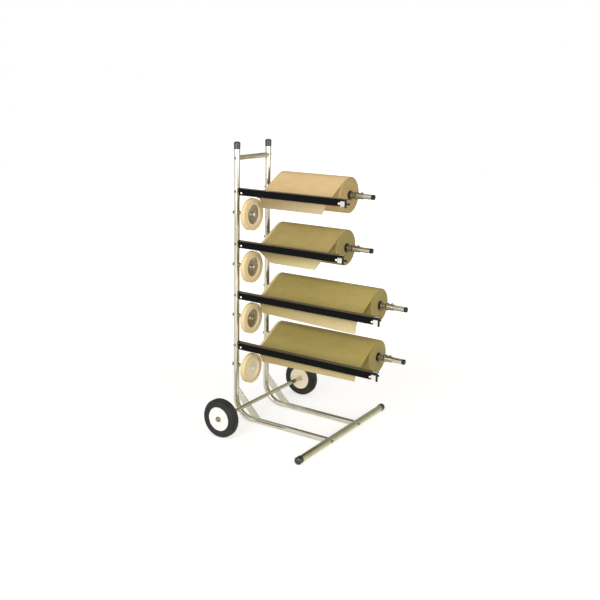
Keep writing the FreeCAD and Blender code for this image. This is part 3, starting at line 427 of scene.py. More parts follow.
# Rubber caps: soft black rubber cups pushed over the tops of the uprights and over
# both ends of the front tube.  The mouth has a rolled lip and the crown is round.
def rubber_cup(mouth, way, deep, radius, tube):
    """A cup along `way` from its mouth: a straight wall with a swollen lip, then an arc
    of 7 mm for the crown, 5 mm past the end of the tube."""
    top, crown = deep + 5 * mm, 7 * mm
    wall = [(0.3 * mm, tube - 0.4 * mm), (0, radius - 0.5 * mm), (0.8 * mm, radius),
            (2.4 * mm, radius), (3.2 * mm, radius - 0.5 * mm), (0.5 * deep, radius - 0.3 * mm),
            (deep - 2.5 * mm, radius)]
    turn = np.linspace(0, 0.5 * math.pi, 12)[:-1, None]
    arc = (top - crown, radius - crown) + crown * np.concatenate([np.sin(turn), np.cos(turn)], 1)
    closing = [(top, radius - crown - 0.5 * mm), (top, hair)]
    return shell(turned(np.concatenate([eased(wall, 0.4 * mm)[:-1], arc, closing]), mouth, way, 40))


cap_rubber = rubber("black_cap_rubber", "#12130f", "#1f201a", 0.2, 1200, 0.9)
top_deep, foot_deep, past_end = 23 * mm, 19 * mm, 5 * mm
low, high = middle_of("upright_caps")[1:]
piece("upright_rubber_caps",
      [rubber_cup((upright_x, y, low[2]), (0, 0, 1), top_deep, near_y - low[1], tube_radius)
       for y in (near_y, far_y)], cap_rubber, "black_rubber", "upright_caps")
low, high = middle_of("front_tube_caps")[1:]
piece("front_tube_rubber_caps",
      [rubber_cup((cross_middle[0], way * (high[1] - foot_deep - past_end), foot_z), (0, way, 0),
                  foot_deep, (high[2] - low[2]) / 2, cross_radius) for way in (-1, 1)],
      cap_rubber, "black_rubber", "front_tube_caps")


# Spindles: plated tubes that stand out of the far upright, one for each roll, with
# a black plastic plug pushed into the free end.
def moulded(name, colour, rough):
    """Injection moulded plastic: even colour, a satin face and a barely seen wave."""
    def parts(made):
        place = add_node(made, "TexCoord", out="Object")
        haze = add_node(made, "TexNoise", {"Vector": place, "Scale": 120.0, "Detail": 3.0})
        return {
            "Base Color": (haze, linear(colour), linear("#1d1c1a")),
            "Roughness": (haze, rough, rough + 0.12),
            "Normal": (haze, 0.4, 0.08 * mm)}
    return new_finish(name, {"Specular IOR Level": 0.3}, parts)


black_plastic = moulded("black_moulded_plastic", "#0d0d0c", 0.3)
spindle_radius, head_long = 10 * mm, 10 * mm
plug_caps, spindle_tips = [], {}
for level in (1, 2, 3, 4):
    middle, low, high = middle_of(f"spindle_{level}")
    line = np.linspace((low[0] - 4 * mm, middle[1], middle[2]), (high[0], middle[1], middle[2]), 24)
    piece(f"spindle_tube_{level}",
          [shell(carried(line, round_section(spindle_radius, 32), (0, 1, 0)))],
          bright_tube, "bright_tube", f"spindle_{level}")
    spindle_tips[level] = np.array([high[0], middle[1], middle[2]])
    head = eased([(-2 * mm, 8 * mm), (hair, 8 * mm), (hair, spindle_radius),
                  (head_long, spindle_radius), (head_long, hair)],
                 (0, 0.2 * mm, 0.4 * mm, 2.4 * mm, 0))
    plug_caps.append(shell(turned(head, spindle_tips[level], (1, 0, 0), 32)))
piece("spindle_end_plugs", plug_caps, black_plastic, "black_plastic", "spindle_caps")


# Paper rolls: brown masking paper wound on a cardboard core, slit clean at both
# ends where the layers show as rings.  The top roll is a pinker buff; the other
# three are an olive tan.
def end_faces(owner):
    """1 on faces that look along the spindles and 0 on all others, from |x| of the normal."""
    normal = add_node(owner, "TexCoord", out="Normal")
    x = add_node(owner, "SeparateXYZ", {0: normal}, out="X")
    size = add_node(owner, "Math", {0: x}, operation="ABSOLUTE")
    return add_node(owner, "MapRange", {0: size, 1: 0.6, 2: 0.8, 3: 0, 4: 1})


def kraft(name, face, deep, edge, rib, hung, span, margin):
    """Kraft paper: matt, finely fibred and faintly mottled by the pulp; its cut ends show
    the layers as rings.

    The end that hangs in front of y = -70 mm is painted with light and shade: from the
    painted shade of the first colour of `hung` to the painted light of the second, over
    `span` in x.  A cream painted highlight lies along the left margin, up to x = margin,
    where the edge of the sheet catches the light.  The real layers are 0.1 mm thick and
    are drawn about 1.2 mm apart.
    """
    def parts(made):
        place, walked = add_node(made, "TexCoord", out="Object"), add_node(made, "UVMap")
        pulp, fibre, layers = (
            add_node(made, "TexNoise", {"Scale": 1.0, "Detail": detail, "Vector": add_node(
                made, "Mapping", {"Vector": where, "Scale": lumps})})
            for where, lumps, detail in ((place, (22, 30, 30), 3.0), (place, (260, 900, 900), 2.0),
                                         (walked, (820, 5, 1), 2.0)))
        x = add_node(made, "SeparateXYZ", {0: place}, out="X")
        y = add_node(made, "SeparateXYZ", {0: place}, out="Y")
        # Painted shade on the left of the hanging end, painted light on its right.
        lit = add_node(made, "MapRange", {0: x, 1: span[0], 2: span[1], 3: 0, 4: 1})
        painted_light_and_shade = add_node(made, "Mix", {0: lit, 6: linear(hung[0]), 7: linear(hung[1])},
                            out=2, data_type="RGBA")
        sheet = linear(face)
        for value, low, high, start, stop, over in (
                (pulp, 0.3, 0.7, 0, 1, linear(deep)),
                # A cream band along the left margin: a painted highlight.
                (x, margin - 0.5 * mm, margin, 1, 0, linear("#e3d09b")),
                (y, -80 * mm, -62 * mm, 1, 0, painted_light_and_shade),
                (fibre, 0.5, 0.8, 0, 0.25, linear(deep))):
            share = add_node(made, "MapRange", {0: value, 1: low, 2: high, 3: start, 4: stop})
            sheet = add_node(made, "Mix", {0: share, 6: sheet, 7: over}, out=2, data_type="RGBA")
        ribbed = add_node(made, "MapRange", {0: layers, 1: 0.35, 2: 0.65, 3: 0, 4: 1})
        ends = add_node(made, "Mix", {0: ribbed, 6: linear(edge), 7: linear(rib)},
                        out=2, data_type="RGBA")
        cut = end_faces(made)
        grain = add_node(made, "Mix", {0: cut, 6: fibre, 7: layers}, out=2, data_type="RGBA")
        return {
            "Base Color": (cut, sheet, ends),
            "Roughness": (pulp, 0.62, 0.8),
            "Normal": (grain, 0.5, 0.12 * mm)}
    return new_finish(name, {"Specular IOR Level": 0.35}, parts)


def board(name, light, dark):
    """Wound cardboard: matt, with a coarse fibre that mixes two shades of it."""
    def parts(made):
        place = add_node(made, "TexCoord", out="Object")
        pulp = add_node(made, "TexNoise", {"Vector": place, "Scale": 300.0, "Detail": 4.0})
        return {
            "Base Color": (pulp, linear(light), linear(dark)),
            "Normal": (pulp, 0.5, 0.2 * mm)}
    return new_finish(name, {"Roughness": 0.8, "Specular IOR Level": 0.3}, parts)


# The margin band is a painted highlight 11 mm wide; the painted shade of each hanging end runs 20 mm in
# from its left.
painted_highlight_width, shaded = 11 * mm, 20 * mm
margin = middle_of("paper_roll_2")[1][0] + painted_highlight_width
spans = {}
for level in (1, 2, 3):
    middle, low, high = middle_of(f"paper_leaf_{level}")
    spans[level] = (low[0] + shaded, high[0])
# The two colours of each hanging end are its painted shade and its painted light.
buff = kraft("buff_kraft_paper", "#dcbf8b", "#d5b782", "#b8a26c", "#a48c58",
             ("#95855b", "#d0b892"), spans[1], -1)
tan = kraft("olive_tan_kraft_paper", "#b5a469", "#ae9c61", "#a2915b", "#8c7c4a",
            ("#a8955f", "#dfd19b"), spans[2], margin)
brown = kraft("deep_olive_kraft_paper", "#ad9c5c", "#a69554", "#a5945a", "#8d7e48",
              ("#a28f60", "#d2bf93"), spans[3], margin)
paper_of = {1: buff, 2: tan, 3: brown, 4: brown}
cardboard = board("wound_grey_cardboard", "#a58a5f", "#8a7049")
core_outer, core_inner = 17.9 * mm, 15.9 * mm
for level in (1, 2, 3, 4):
    middle, low, high = middle_of(f"paper_roll_{level}")
    radius, end = (high[2] - low[2]) / 2, (high[0] - low[0]) / 2
    rings = np.linspace(core_outer, radius - 0.8 * mm, 70)
    slip = 0.15 * mm * (2 + np.sin(rings / (1.9 * mm))
                        + np.sin(rings / (0.7 * mm)) * np.sin(rings / (5.3 * mm)))
    end_face = np.stack([end - slip, rings], -1)
    edge = np.array([(end - 0.25 * mm, radius - 0.3 * mm), (end - 0.7 * mm, radius)])
    side = np.stack([np.linspace(end - 8 * mm, 8 * mm - end, 12), np.full(12, radius)], -1)
    outline = np.concatenate([end_face, edge, side, edge[::-1] * (-1, 1),
                              end_face[::-1] * (-1, 1)])
    piece(f"wound_paper_{level}", [shell(turned(outline, middle, (1, 0, 0), 96), loop=True)],
          paper_of[level], "masking_paper", f"paper_roll_{level}")
    core = eased([(-end, core_inner), (-end, core_outer), (end, core_outer), (end, core_inner)],
                 0.4 * mm, closed=True)
    piece(f"cardboard_core_{level}", [shell(turned(core, middle, (1, 0, 0), 48), loop=True)],
          cardboard, "cardboard", f"paper_core_{level}")


# Core plugs: black moulded bushes pushed into both ends of each core, which turn on
# the spindle with the roll.
bush = eased(np.array([(-20, 10.1), (-20, 15.7), (0, 15.7), (0, 17), (4.5, 17), (4.5, 14.8),
                       (3, 14.2), (3, 11.9), (4.5, 11.4), (4.5, 10.1)]) * mm,
             0.4 * mm, closed=True)
for level in (1, 2, 3, 4):
    middle, low, high = middle_of(f"paper_core_{level}")
    piece(f"core_bushes_{level}",
          [shell(turned(bush, (x, middle[1], middle[2]), (way, 0, 0), 48), loop=True)
           for x, way in ((low[0], -1), (high[0], 1))],
          black_plastic, "black_plastic", f"core_plugs_{level}")


# Tension springs: three turns of plated spring wire between the outer core plug and
# the stop collar, which keep the roll from running on.
def coil(start, length, radius, turns, wire):
    """A helix round x: start + (length t, radius cos 2 pi n t, radius sin 2 pi n t), wound
    closer at both ends by a sine of t."""
    t = np.linspace(0, 1, turns * 28)
    rise = t + np.sin(2 * math.pi * t) * -0.06
    angle = 2 * math.pi * turns * t
    helix = np.stack([length * rise, radius * np.cos(angle), radius * np.sin(angle)], -1)
    path = np.asarray(start, float) + helix
    return shell(carried(path, round_section(wire, 10), (1, 0, 0)))


zinc = plated("bright_zinc_on_turned_steel", "#bdb8a2", "#8f8870", 0.16, 0.3, (900, 60, 1))
spring_zinc = plated("dull_zinc_on_spring_wire", "#a39d85", "#6d6753", 0.2, 0.35, (40, 900, 1))
wire, coil_radius, play = 1.5 * mm, 12.5 * mm, 0.4 * mm
coils = []
for level in (1, 2, 3, 4):
    middle, low, high = middle_of(f"core_plugs_{level}")
    start = high[0] + play + wire
    stop = middle_of(f"spindle_collar_{level}")[1][0] - play - wire
    coils.append(coil((start, middle[1], middle[2]), stop - start, coil_radius, 3, wire))
piece("tension_coils", coils, spring_zinc, "zinc_plate", "tension_springs")


# Stop collars: turned and plated steel sleeves with a knurled rim, locked on the
# spindle by a small screw with a low knurled head.
def knurled(profile, centre, way, count, teeth, depth, chosen):
    """A turned profile whose chosen points are cut in by depth (1 - cos(teeth t)) / 2."""
    t = np.linspace(0, 2 * math.pi, count, endpoint=False)
    grid = turned(profile, centre, way, count)
    axis = np.asarray(way, float)
    out = grid - np.asarray(centre, float)
    out -= (out @ axis)[..., None] * axis
    out /= np.maximum(np.linalg.norm(out, axis=-1, keepdims=True), 1e-9)
    return grid - out * (depth * (1 - np.cos(teeth * t)) / 2)[None, :, None] * chosen[:, None, None]


sleeve = eased(np.array([(0, 10.1), (0, 15), (4, 15), (4, 12), (28, 12), (28, 10.1)]) * mm,
               0.4 * mm, closed=True)
knob = eased(np.array([(0, 0.2), (0, 2.4), (2.6, 2.4), (2.6, 4), (5.6, 4), (5.6, 0.2)]) * mm,
             0.5 * mm)
on_rim = (sleeve[:, 1] > 14.4 * mm).astype(float)
on_knob = (knob[:, 1] > 3.6 * mm).astype(float)
screw_along, screw_up = 21 * mm, 10.2 * mm
for level in (1, 2, 3, 4):
    middle, low, high = middle_of(f"spindle_collar_{level}")
    start = (low[0], spindle_tips[level][1], spindle_tips[level][2])
    ribbed = knurled(sleeve, start, (1, 0, 0), 144, 36, 0.5 * mm, on_rim)
    piece(f"stop_collar_{level}", [shell(ribbed, loop=True)],
          zinc, "zinc_plate", f"spindle_collar_{level}")
    foot = (low[0] + screw_along, start[1], start[2] + screw_up)
    piece(f"collar_lock_screw_{level}",
          [shell(knurled(knob, foot, (0, 0, 1), 72, 18, 0.4 * mm, on_knob))],
          zinc, "zinc_plate", f"spindle_collar_{level}")


# Paper leaves: the free end of each roll, pulled forward from the top of the roll to
# the cutter bar, where it curls down behind the bar.  The left corner is torn
# away beside the tape, and two of the ends are torn at a slant.

# For each level: the slope of the hanging end in degrees, then in mm how far that end
# falls, how wide the torn corner is, and how far the torn end is drawn back at the
# corner and at the right.
pulled = {1: (57.5, 39.5, 29, -1, -1), 2: (31, 58, 95, -1, -1),
          3: (76, 44.5, 25, 9.7, -1), 4: (81, 30, 22, 0.5, 6)}
slope, curl, fold_back, thick = math.radians(30), 24 * mm, 173.1 * mm, 0.4 * mm
off_roll, beside_tape, corner_start = 0.65 * mm, 4 * mm, 21 * mm
first = np.array([-math.cos(slope), -math.sin(slope)])
for level in (1, 2, 3, 4):
    middle, low, high = middle_of(f"paper_roll_{level}")
    end_slope, fall = math.radians(pulled[level][0]), pulled[level][1] * mm
    run, left_rise, right_rise = np.array(pulled[level][2:]) * mm
    root = (high[2] - low[2]) / 2 + off_roll
    start = np.array([-root * math.sin(slope), root * math.cos(slope)])
    last = np.array([-math.cos(end_slope), -math.sin(end_slope)])
    fold = start + first * (fold_back + start[0]) / math.cos(slope)
    trim = curl * math.tan((end_slope - slope) / 2)
    centre = fold - first * trim + curl * np.array([math.sin(slope), -math.cos(slope)])
    turn = np.linspace(slope, end_slope, 14)[:, None] + math.pi / 2
    arc = centre + curl * np.concatenate([np.cos(turn), np.sin(turn)], 1)
    top = np.concatenate([np.linspace(start, arc[0], 40)[:-1], arc,
                          np.linspace(arc[-1], fold + last * fall, 14)[1:]])
    heading = np.gradient(top, axis=0)
    normal = np.stack([heading[:, 1], -heading[:, 0]], -1)
    normal /= np.linalg.norm(heading, axis=1, keepdims=True)
    steps = np.linalg.norm(np.diff(top, axis=0), axis=1)
    walked = np.concatenate([[0], np.cumsum(steps)])
    corner = middle_of(f"tape_roll_{level}")[2][0] + beside_tape
    x = np.unique(np.concatenate([np.linspace(low[0], high[0], 60), [corner, corner + run]]))
    torn = np.interp(x, [corner, corner + run, high[0]],
                     [-corner_start, top[-1, 1] + left_rise, top[-1, 1] + right_rise])
    gone = np.interp(-torn, -top[:, 1], walked)[:, None] * np.linspace(0, 1, 90)
    along_y, along_z, normal_y, normal_z = (np.interp(gone, walked, values)
                                            for values in (*top.T, *normal.T))
    # The sheet waves a little, more so with the distance from the roll.
    across = (x - low[0])[:, None]
    lift = np.clip(gone / (60 * mm), 0, 1) * (
        0.5 * mm * np.sin(across / (47 * mm)) * np.sin(gone / (31 * mm))
        + 0.25 * mm * np.sin(across / (13 * mm) + gone / (22 * mm)))
    sheets = [np.stack([np.broadcast_to(x[:, None], gone.shape),
                        middle[1] + along_y + normal_y * offset,
                        middle[2] + along_z + normal_z * offset], -1)
              for offset in (lift - thick / 2, lift + thick / 2)]
    piece(f"pulled_paper_{level}", [shell(np.concatenate([sheets[0], sheets[1][:, ::-1]], 1))],
          paper_of[level], "masking_paper", f"paper_leaf_{level}")


# Cutter bars: black enamelled steel angles that stand out of the near upright, with a
# mounting tab and a weld nut behind it.
def gloss_black(name, colour, wear):
    """Black stoving enamel on rolled steel: a deep gloss, a slight orange peel, faint dust
    mottling, and a painted brown sheen on the faces that look up."""
    def parts(made):
        place = add_node(made, "TexCoord", out="Object")
        lumps = add_node(made, "Mapping", {"Vector": place, "Scale": (18, 60, 60)})
        dust = add_node(made, "TexNoise", {"Vector": lumps, "Scale": 1.0, "Detail": 5.0})
        peel = add_node(made, "TexNoise", {"Vector": place, "Scale": 420.0, "Detail": 1.0})
        worn = add_node(made, "MapRange", {0: dust, 1: 0.5, 2: 0.85, 3: 0, 4: 0.5})
        clean = add_node(made, "Mix", {0: worn, 6: linear(colour), 7: linear(wear)},
                         out=2, data_type="RGBA")
        normal = add_node(made, "TexCoord", out="Normal")
        # Faces that look up are mixed towards brown, a painted sheen.
        upward = add_node(made, "SeparateXYZ", {0: normal}, out="Z")
        dusty = add_node(made, "MapRange", {0: upward, 1: 0.6, 2: 0.95, 3: 0, 4: 0.8})
        return {
            "Base Color": (dusty, clean, linear("#65583f")),
            "Roughness": (dust, 0.2, 0.34),
            "Normal": (peel, 0.5, 0.06 * mm)}
    return new_finish(name, {"Specular IOR Level": 0.07}, parts)


def along_x(outline, z, start, stop, y):
    """An outline of (y, z) about a point of the bar, moved straight from start to stop in x."""
    return shell(extruded(outline, (start, y, z), (stop, y, z), (0, 1, 0), (0, 0, 1)))


def along_y(outline, z, start, stop):
    """An outline of (x, z) about the near upright, moved straight from start to stop in y."""
    return shell(extruded(outline, (upright_x, start, z), (upright_x, stop, z),
                          (1, 0, 0), (0, 0, 1)))


black_enamel = gloss_black("black_stoving_enamel", "#060606", "#151311")
angle, wall, face, bar_start = 25.4 * mm, 3 * mm, 12.4 * mm, 15.5 * mm
tab_end, nut_radius, nut_deep = 60 * mm, 5 * mm, 4 * mm
half, back = angle / 2, near_y + tube_radius
bar_outline = eased([(-face, -half), (wall - face, -half), (wall - face, half - wall),
                     (angle - face, half - wall), (angle - face, half), (-face, half)],
                    np.array([0.5, 0.5, 2, 0.5, 0.5, 4]) * mm, closed=True)
tab = eased([(-tube_radius - 1 * mm, -half), (tab_end, -half), (tab_end, half),
             (-tube_radius - 1 * mm, half)], 1.5 * mm, closed=True)
bar_ends, bar_heights = {}, {}
for level in (1, 2, 3, 4):
    middle, low, high = middle_of(f"cutter_bar_{level}")
    bar_ends[level], bar_heights[level] = high[0], middle[2]
    piece(f"bar_angle_{level}",
          [along_x(bar_outline, middle[2], upright_x + bar_start, high[0], near_y),
           along_y(tab, middle[2], back, back + wall),
           along_y(round_section(nut_radius, 24), middle[2], back + wall - 0.5 * mm,
                   back + wall + nut_deep)],
          black_enamel, "black_paint", f"cutter_bar_{level}", bevel=0.3 * mm)


# Cutter blades: thin serrated spring steel, blued black like the bar and riveted on
# its face with the teeth just below its edge.
def blued_blade(name):
    """Blued spring steel; the first 2 mm from the edge is a greyer ground band, with fine
    cross marks."""
    def parts(made):
        place, walked = add_node(made, "TexCoord", out="Object"), add_node(made, "UVMap")
        marks, dust = (
            add_node(made, "TexNoise", {"Scale": 1.0, "Detail": detail, "Vector": add_node(
                made, "Mapping", {"Vector": where, "Scale": lumps})})
            for where, lumps, detail in ((walked, (2500, 60, 1), 2.0), (place, (18, 60, 60), 5.0)))
        up = add_node(made, "SeparateXYZ", {0: walked}, out="Y")
        ground = add_node(made, "MapRange", {0: up, 1: 1.2 * mm, 2: 2 * mm, 3: 1, 4: 0})
        return {
            "Base Color": (ground, linear("#080808"), linear("#1c1b1a")),
            "Roughness": (dust, 0.24, 0.36),
            "Normal": (marks, 0.5, 0.04 * mm)}
    return new_finish(name, {"Specular IOR Level": 0.08}, parts)


blade_black = blued_blade("blued_blade_steel")
clip_wide, rivet_drop, blade_thick, pitch, deep = 18 * mm, 3.8 * mm, 0.8 * mm, 4 * mm, 2.2 * mm
tips_below, roots_below, top_above = 14.2 * mm, 11 * mm, 7.8 * mm
front = near_y - face
dome = np.array([(3, 0.2), (3, 2), (0, 2), (0, 4.5), (-0.5, 4.35), (-1.1, 3.7), (-1.6, 2.6),
                 (-1.9, 1.3), (-2, 0.2)]) * mm
blades, rivets = [], []
for level in (1, 2, 3, 4):
    bar_z = bar_heights[level]
    begin, stop = upright_x + bar_start + 1 * mm, bar_ends[level] - clip_wide - 1 * mm
    at = begin + pitch * np.arange(0, int((stop - begin) / pitch) + 0.25, 0.5)
    at = np.append(at, stop)
    low_edge = bar_z - tips_below + deep * (np.arange(len(at)) % 2)
    level_line = np.ones(len(at))
    rows = [np.stack([at, y * level_line, z * level_line], -1) for y, z in (
        (front - blade_thick, low_edge), (front - blade_thick, bar_z - roots_below),
        (front - blade_thick, bar_z + top_above), (front, bar_z + top_above), (front, low_edge))]
    blades.append(shell(np.stack(rows, 1)))
    for x in (begin + 13.3 * mm, stop - 4.5 * mm):
        place = (x, front - blade_thick, bar_z - rivet_drop)
        rivets.append(shell(turned(dome, place, (0, 1, 0), 24)))
piece("serrated_blades", blades, blade_black, "blade_steel", "cutter_blades", crease=20)
rivet_nickel = plated("bright_nickel_on_rivets", "#f8f6f0", "#ebe7dc", 0.12, 0.2, (300, 300, 1))
piece("blade_dome_rivets", rivets, rivet_nickel, "zinc_plate", "blade_rivets")


# End clips and guards: a bright clip folded over the face and top of each bar, and a
# narrow black moulded guard on its end with a lug on its side.
def bent_nickel(name, bright, painted_dark_reflection, bend):
    """Bright nickel on spring steel, with a painted dark reflection: a band from 3 mm
    behind the bend, whose place is walked round the fold, to 8 mm down the face."""
    def parts(made):
        walked = add_node(made, "SeparateXYZ", {0: add_node(made, "UVMap")}, out="Y")
        starts, ends = (
            add_node(made, "MapRange", {0: walked, 1: bend + low, 2: bend + high, 3: dark, 4: 1 - dark})
            for low, high, dark in ((-4 * mm, -2 * mm, 0), (7 * mm, 9 * mm, 1)))
        band = add_node(made, "Math", {0: starts, 1: ends}, operation="MULTIPLY")
        place = add_node(made, "TexCoord", out="Object")
        film = add_node(made, "TexNoise", {"Vector": place, "Scale": 300.0, "Detail": 2.0})
        return {
            "Base Color": (band, linear(bright), linear(painted_dark_reflection)),
            "Roughness": (film, 0.1, 0.2)}
    return new_finish(name, {"Metallic": 1.0}, parts)


clip_thick, lap, guard_wide, guard_deep, lug_half = 1 * mm, 0.7 * angle, 5.5 * mm, 5 * mm, 3.5 * mm
fold = eased([(-clip_thick, -half), (0, -half), (0, half), (lap, half), (lap, half + clip_thick),
              (-clip_thick, half + clip_thick)],
             np.array([0.3, 0.3, 4, 0.3, 0.3, 5]) * mm, closed=True)
plate = eased([(-1 * mm, -half - guard_deep), (6 * mm, -half - guard_deep),
               (6 * mm, half + 1 * mm), (-1 * mm, half + 1 * mm)], 1 * mm, closed=True)
clips, guards = [], []
for level in (1, 2, 3, 4):
    bar_z, tip = bar_heights[level], bar_ends[level]
    clips.append(along_x(fold, bar_z, tip - clip_wide, tip, front))
    guards.append(along_x(plate, bar_z, tip, tip + guard_wide, front))
    raise_by, out = (-3 * mm, 14 * mm) if level < 3 else (6 * mm, 6 * mm)
    lug = eased([(0, raise_by - lug_half), (5 * mm, raise_by - lug_half),
                 (5 * mm, raise_by + lug_half), (0, raise_by + lug_half)], 1.2 * mm, closed=True)
    guards.append(along_x(lug, bar_z, tip + guard_wide - 0.5 * mm, tip + guard_wide + out, front))
# The second colour is the painted dark reflection in the bend of each clip.
nickel = bent_nickel("bright_nickel_on_spring_steel", "#efece4", "#2f2a22", 2.4 * angle)
piece("folded_end_clips", clips, nickel, "zinc_plate", "bar_end_clips", bevel=0.15 * mm)
piece("moulded_end_guards", guards, black_plastic, "black_plastic", "bar_end_guards",
      bevel=0.5 * mm)


# Tape rolls: creped masking tape wound on a three inch cardboard core, whose face
# shows the layers as fine rings.
def creped_tape(name, face, ring, back):
    """Masking tape: cream crepe paper with fine cross wrinkles, and sticky layers that ring
    its sides.  The real layers are 0.13 mm thick and are drawn about 1.1 mm apart."""
    def parts(made):
        place, walked = add_node(made, "TexCoord", out="Object"), add_node(made, "UVMap")
        layers, crepe = (
            add_node(made, "TexNoise", {"Scale": 1.0, "Detail": 2.0, "Vector": add_node(
                made, "Mapping", {"Vector": walked, "Scale": lumps})})
            for lumps in ((900, 6, 1), (60, 700, 1)))
        pulp = add_node(made, "TexNoise", {"Vector": place, "Scale": 70.0, "Detail": 4.0})
        ringed = add_node(made, "MapRange", {0: layers, 1: 0.35, 2: 0.65, 3: 0, 4: 1})
        cut = end_faces(made)
        sides = add_node(made, "Mix", {0: ringed, 6: linear(face), 7: linear(ring)},
                         out=2, data_type="RGBA")
        top = add_node(made, "Mix", {0: crepe, 6: linear(face), 7: linear(back)},
                       out=2, data_type="RGBA")
        grain = add_node(made, "Mix", {0: cut, 6: crepe, 7: layers}, out=2, data_type="RGBA")
        return {
            "Base Color": (cut, top, sides),
            "Roughness": (pulp, 0.5, 0.7),
            "Normal": (grain, 0.6, 0.15 * mm)}
    return new_finish(name, {"Specular IOR Level": 0.4}, parts)


cream_tape = creped_tape("cream_creped_masking_tape", "#e8d5a4", "#dcc38b", "#d3ba82")
pale_board = board("wound_pale_cardboard", "#fbf0dd", "#eddcc0")
inner, core_wall, core_back = 38.1 * mm, 3 * mm, 0.3 * mm
for level in (1, 2, 3, 4):
    middle, low, high = middle_of(f"tape_roll_{level}")
    outer, half = (high[2] - low[2]) / 2, (high[0] - low[0]) / 2
    rings = np.linspace(inner + core_wall, outer - 0.7 * mm, 30)
    slip = 0.08 * mm * (1 + np.sin(rings / (0.9 * mm)))
    side = np.stack([half - slip, rings], -1)
    edge = np.array([(half - 0.2 * mm, outer - 0.2 * mm), (half - 0.7 * mm, outer)])
    outline = np.concatenate([side, edge, edge[::-1] * (-1, 1), side[::-1] * (-1, 1)])
    piece(f"wound_tape_{level}", [shell(turned(outline, middle, (1, 0, 0), 96), loop=True)],
          cream_tape, "masking_tape", f"tape_roll_{level}")
    end = half - core_back
    core = eased([(-end, inner), (-end, inner + core_wall), (end, inner + core_wall),
                  (end, inner)], 0.4 * mm, closed=True)
    piece(f"tape_core_{level}", [shell(turned(core, middle, (1, 0, 0), 72), loop=True)],
          pale_board, "cardboard", f"tape_roll_{level}")


# Tape hubs: slightly dished discs of pressed steel with a boss at the bolt and a rim
# turned back into the core, which grips it.  Three are plain plated steel gone
# brown; the lowest is the same steel in a cream colour, painted light where it
# is lit more brightly.
def pressed_steel(name, light, dark):
    """Pressed sheet steel, plated and tarnished, with fine turning marks round it."""
    def parts(made):
        place = add_node(made, "TexCoord", out="Object")
        tarnish = add_node(made, "TexNoise", {"Vector": place, "Scale": 50.0, "Detail": 5.0})
        round_it = add_node(made, "Mapping", {"Vector": add_node(made, "UVMap"),
                                              "Scale": (1500, 6, 1)})
        marks = add_node(made, "TexNoise", {"Vector": round_it, "Scale": 1.0, "Detail": 2.0})
        brown = add_node(made, "MapRange", {0: tarnish, 1: 0.3, 2: 0.7, 3: 0, 4: 1})
        return {
            "Base Color": (brown, linear(light), linear(dark)),
            "Roughness": (tarnish, 0.24, 0.32),
            "Normal": (marks, 0.3, 0.02 * mm)}
    return new_finish(name, {"Metallic": 0.85}, parts)


hub_steel = pressed_steel("tarnished_pressed_steel", "#b3a98a", "#978c6a")
# The lowest hub's cream is painted light on the same plated steel.
cream_paint = enamel("steel_with_painted_light_cream", "#e6dcb8", "#e6dcb8", 10 * mm)
dished, boss, sheet, bolt_hole = 4.7 * mm, 7.5 * mm, 2 * mm, 4.1 * mm
for level in (1, 2, 3, 4):
    middle, low, high = middle_of(f"tape_hub_{level}")
    rim, depth = (high[2] - low[2]) / 2, high[0] - low[0]
    outline = eased([(0, rim), (0, rim - sheet), (depth - 2.2 * mm, rim - 2.5 * mm),
                     (depth - dished, 10 * mm), (depth - dished, boss), (sheet, boss),
                     (sheet, bolt_hole), (depth, bolt_hole), (depth, 9 * mm),
                     (depth - 2.5 * mm, 10.5 * mm), (depth, rim)], 0.6 * mm, closed=True)
    disc = turned(outline, (low[0], middle[1], middle[2]), (1, 0, 0), 72)
    piece(f"pressed_hub_{level}", [shell(disc, loop=True)],
          cream_paint if level == 4 else hub_steel,
          "cream_paint" if level == 4 else "hub_steel", f"tape_hub_{level}")


# Screws, bolts and nuts: hexagon heads, forged and plated, chamfered where the
# forging die rounds their corners.
def hexagon(base, way, flats, high, both=False):
    """A hexagon head: radius flats / 2 / cos(t - 60 n), never past a cone that falls in at
    the free face."""
    t = np.linspace(0, 2 * math.pi, 72, endpoint=False)
    flat = flats / 2 / np.cos((t + math.pi / 6) % (math.pi / 3) - math.pi / 6)
    rise = np.array([0, 0.04, 0.08, 0.14, 0.2, 0.3, 0.7, 0.8, 0.86, 0.92, 0.96, 1.0])
    near_face = np.minimum(1 - rise, rise if both else 1 - rise)
    allowed = flats / 2 * (0.97 + near_face * 1.1)
    radius = np.minimum(flat[None], allowed[:, None])
    a = np.asarray(way, float)
    b = np.roll(a, 1)
    c = np.cross(a, b)
    rim = b * np.cos(t)[:, None] + c * np.sin(t)[:, None]
    along = np.asarray(base, float) + rise[:, None, None] * high * a
    return shell(along + radius[..., None] * rim[None])


tarnished_zinc = plated("tarnished_zinc_on_nuts", "#b9b5a6", "#7c7866", 0.2, 0.34, (300, 300, 1))
handle_z = middle_of("handle_tube")[0][2]
front_x = middle_of("front_cross_tube")[2][0]
screw_flats, screw_high, bolt_flats, bolt_high, nut_high = 10 * mm, 4 * mm, 13 * mm, 8 * mm, 6.5 * mm
back_x = upright_x - tube_radius
spots = [((upright_x, near_y - tube_radius, handle_z), (0, -1, 0), screw_high),
         ((upright_x, far_y + tube_radius, handle_z), (0, 1, 0), screw_high)]
spots += [((front_x - 0.3 * mm, y, foot_z), (1, 0, 0), screw_high + 0.3 * mm)
          for y in (near_y, far_y)]
spots += [((back_x, far_y, spindle_tips[level][2]), (-1, 0, 0), screw_high)
          for level in (1, 2, 3, 4)]
piece("frame_hexagon_screws", [hexagon(spot, way, screw_flats, high) for spot, way, high in spots],
      zinc, "zinc_plate", "frame_screws", crease=25)
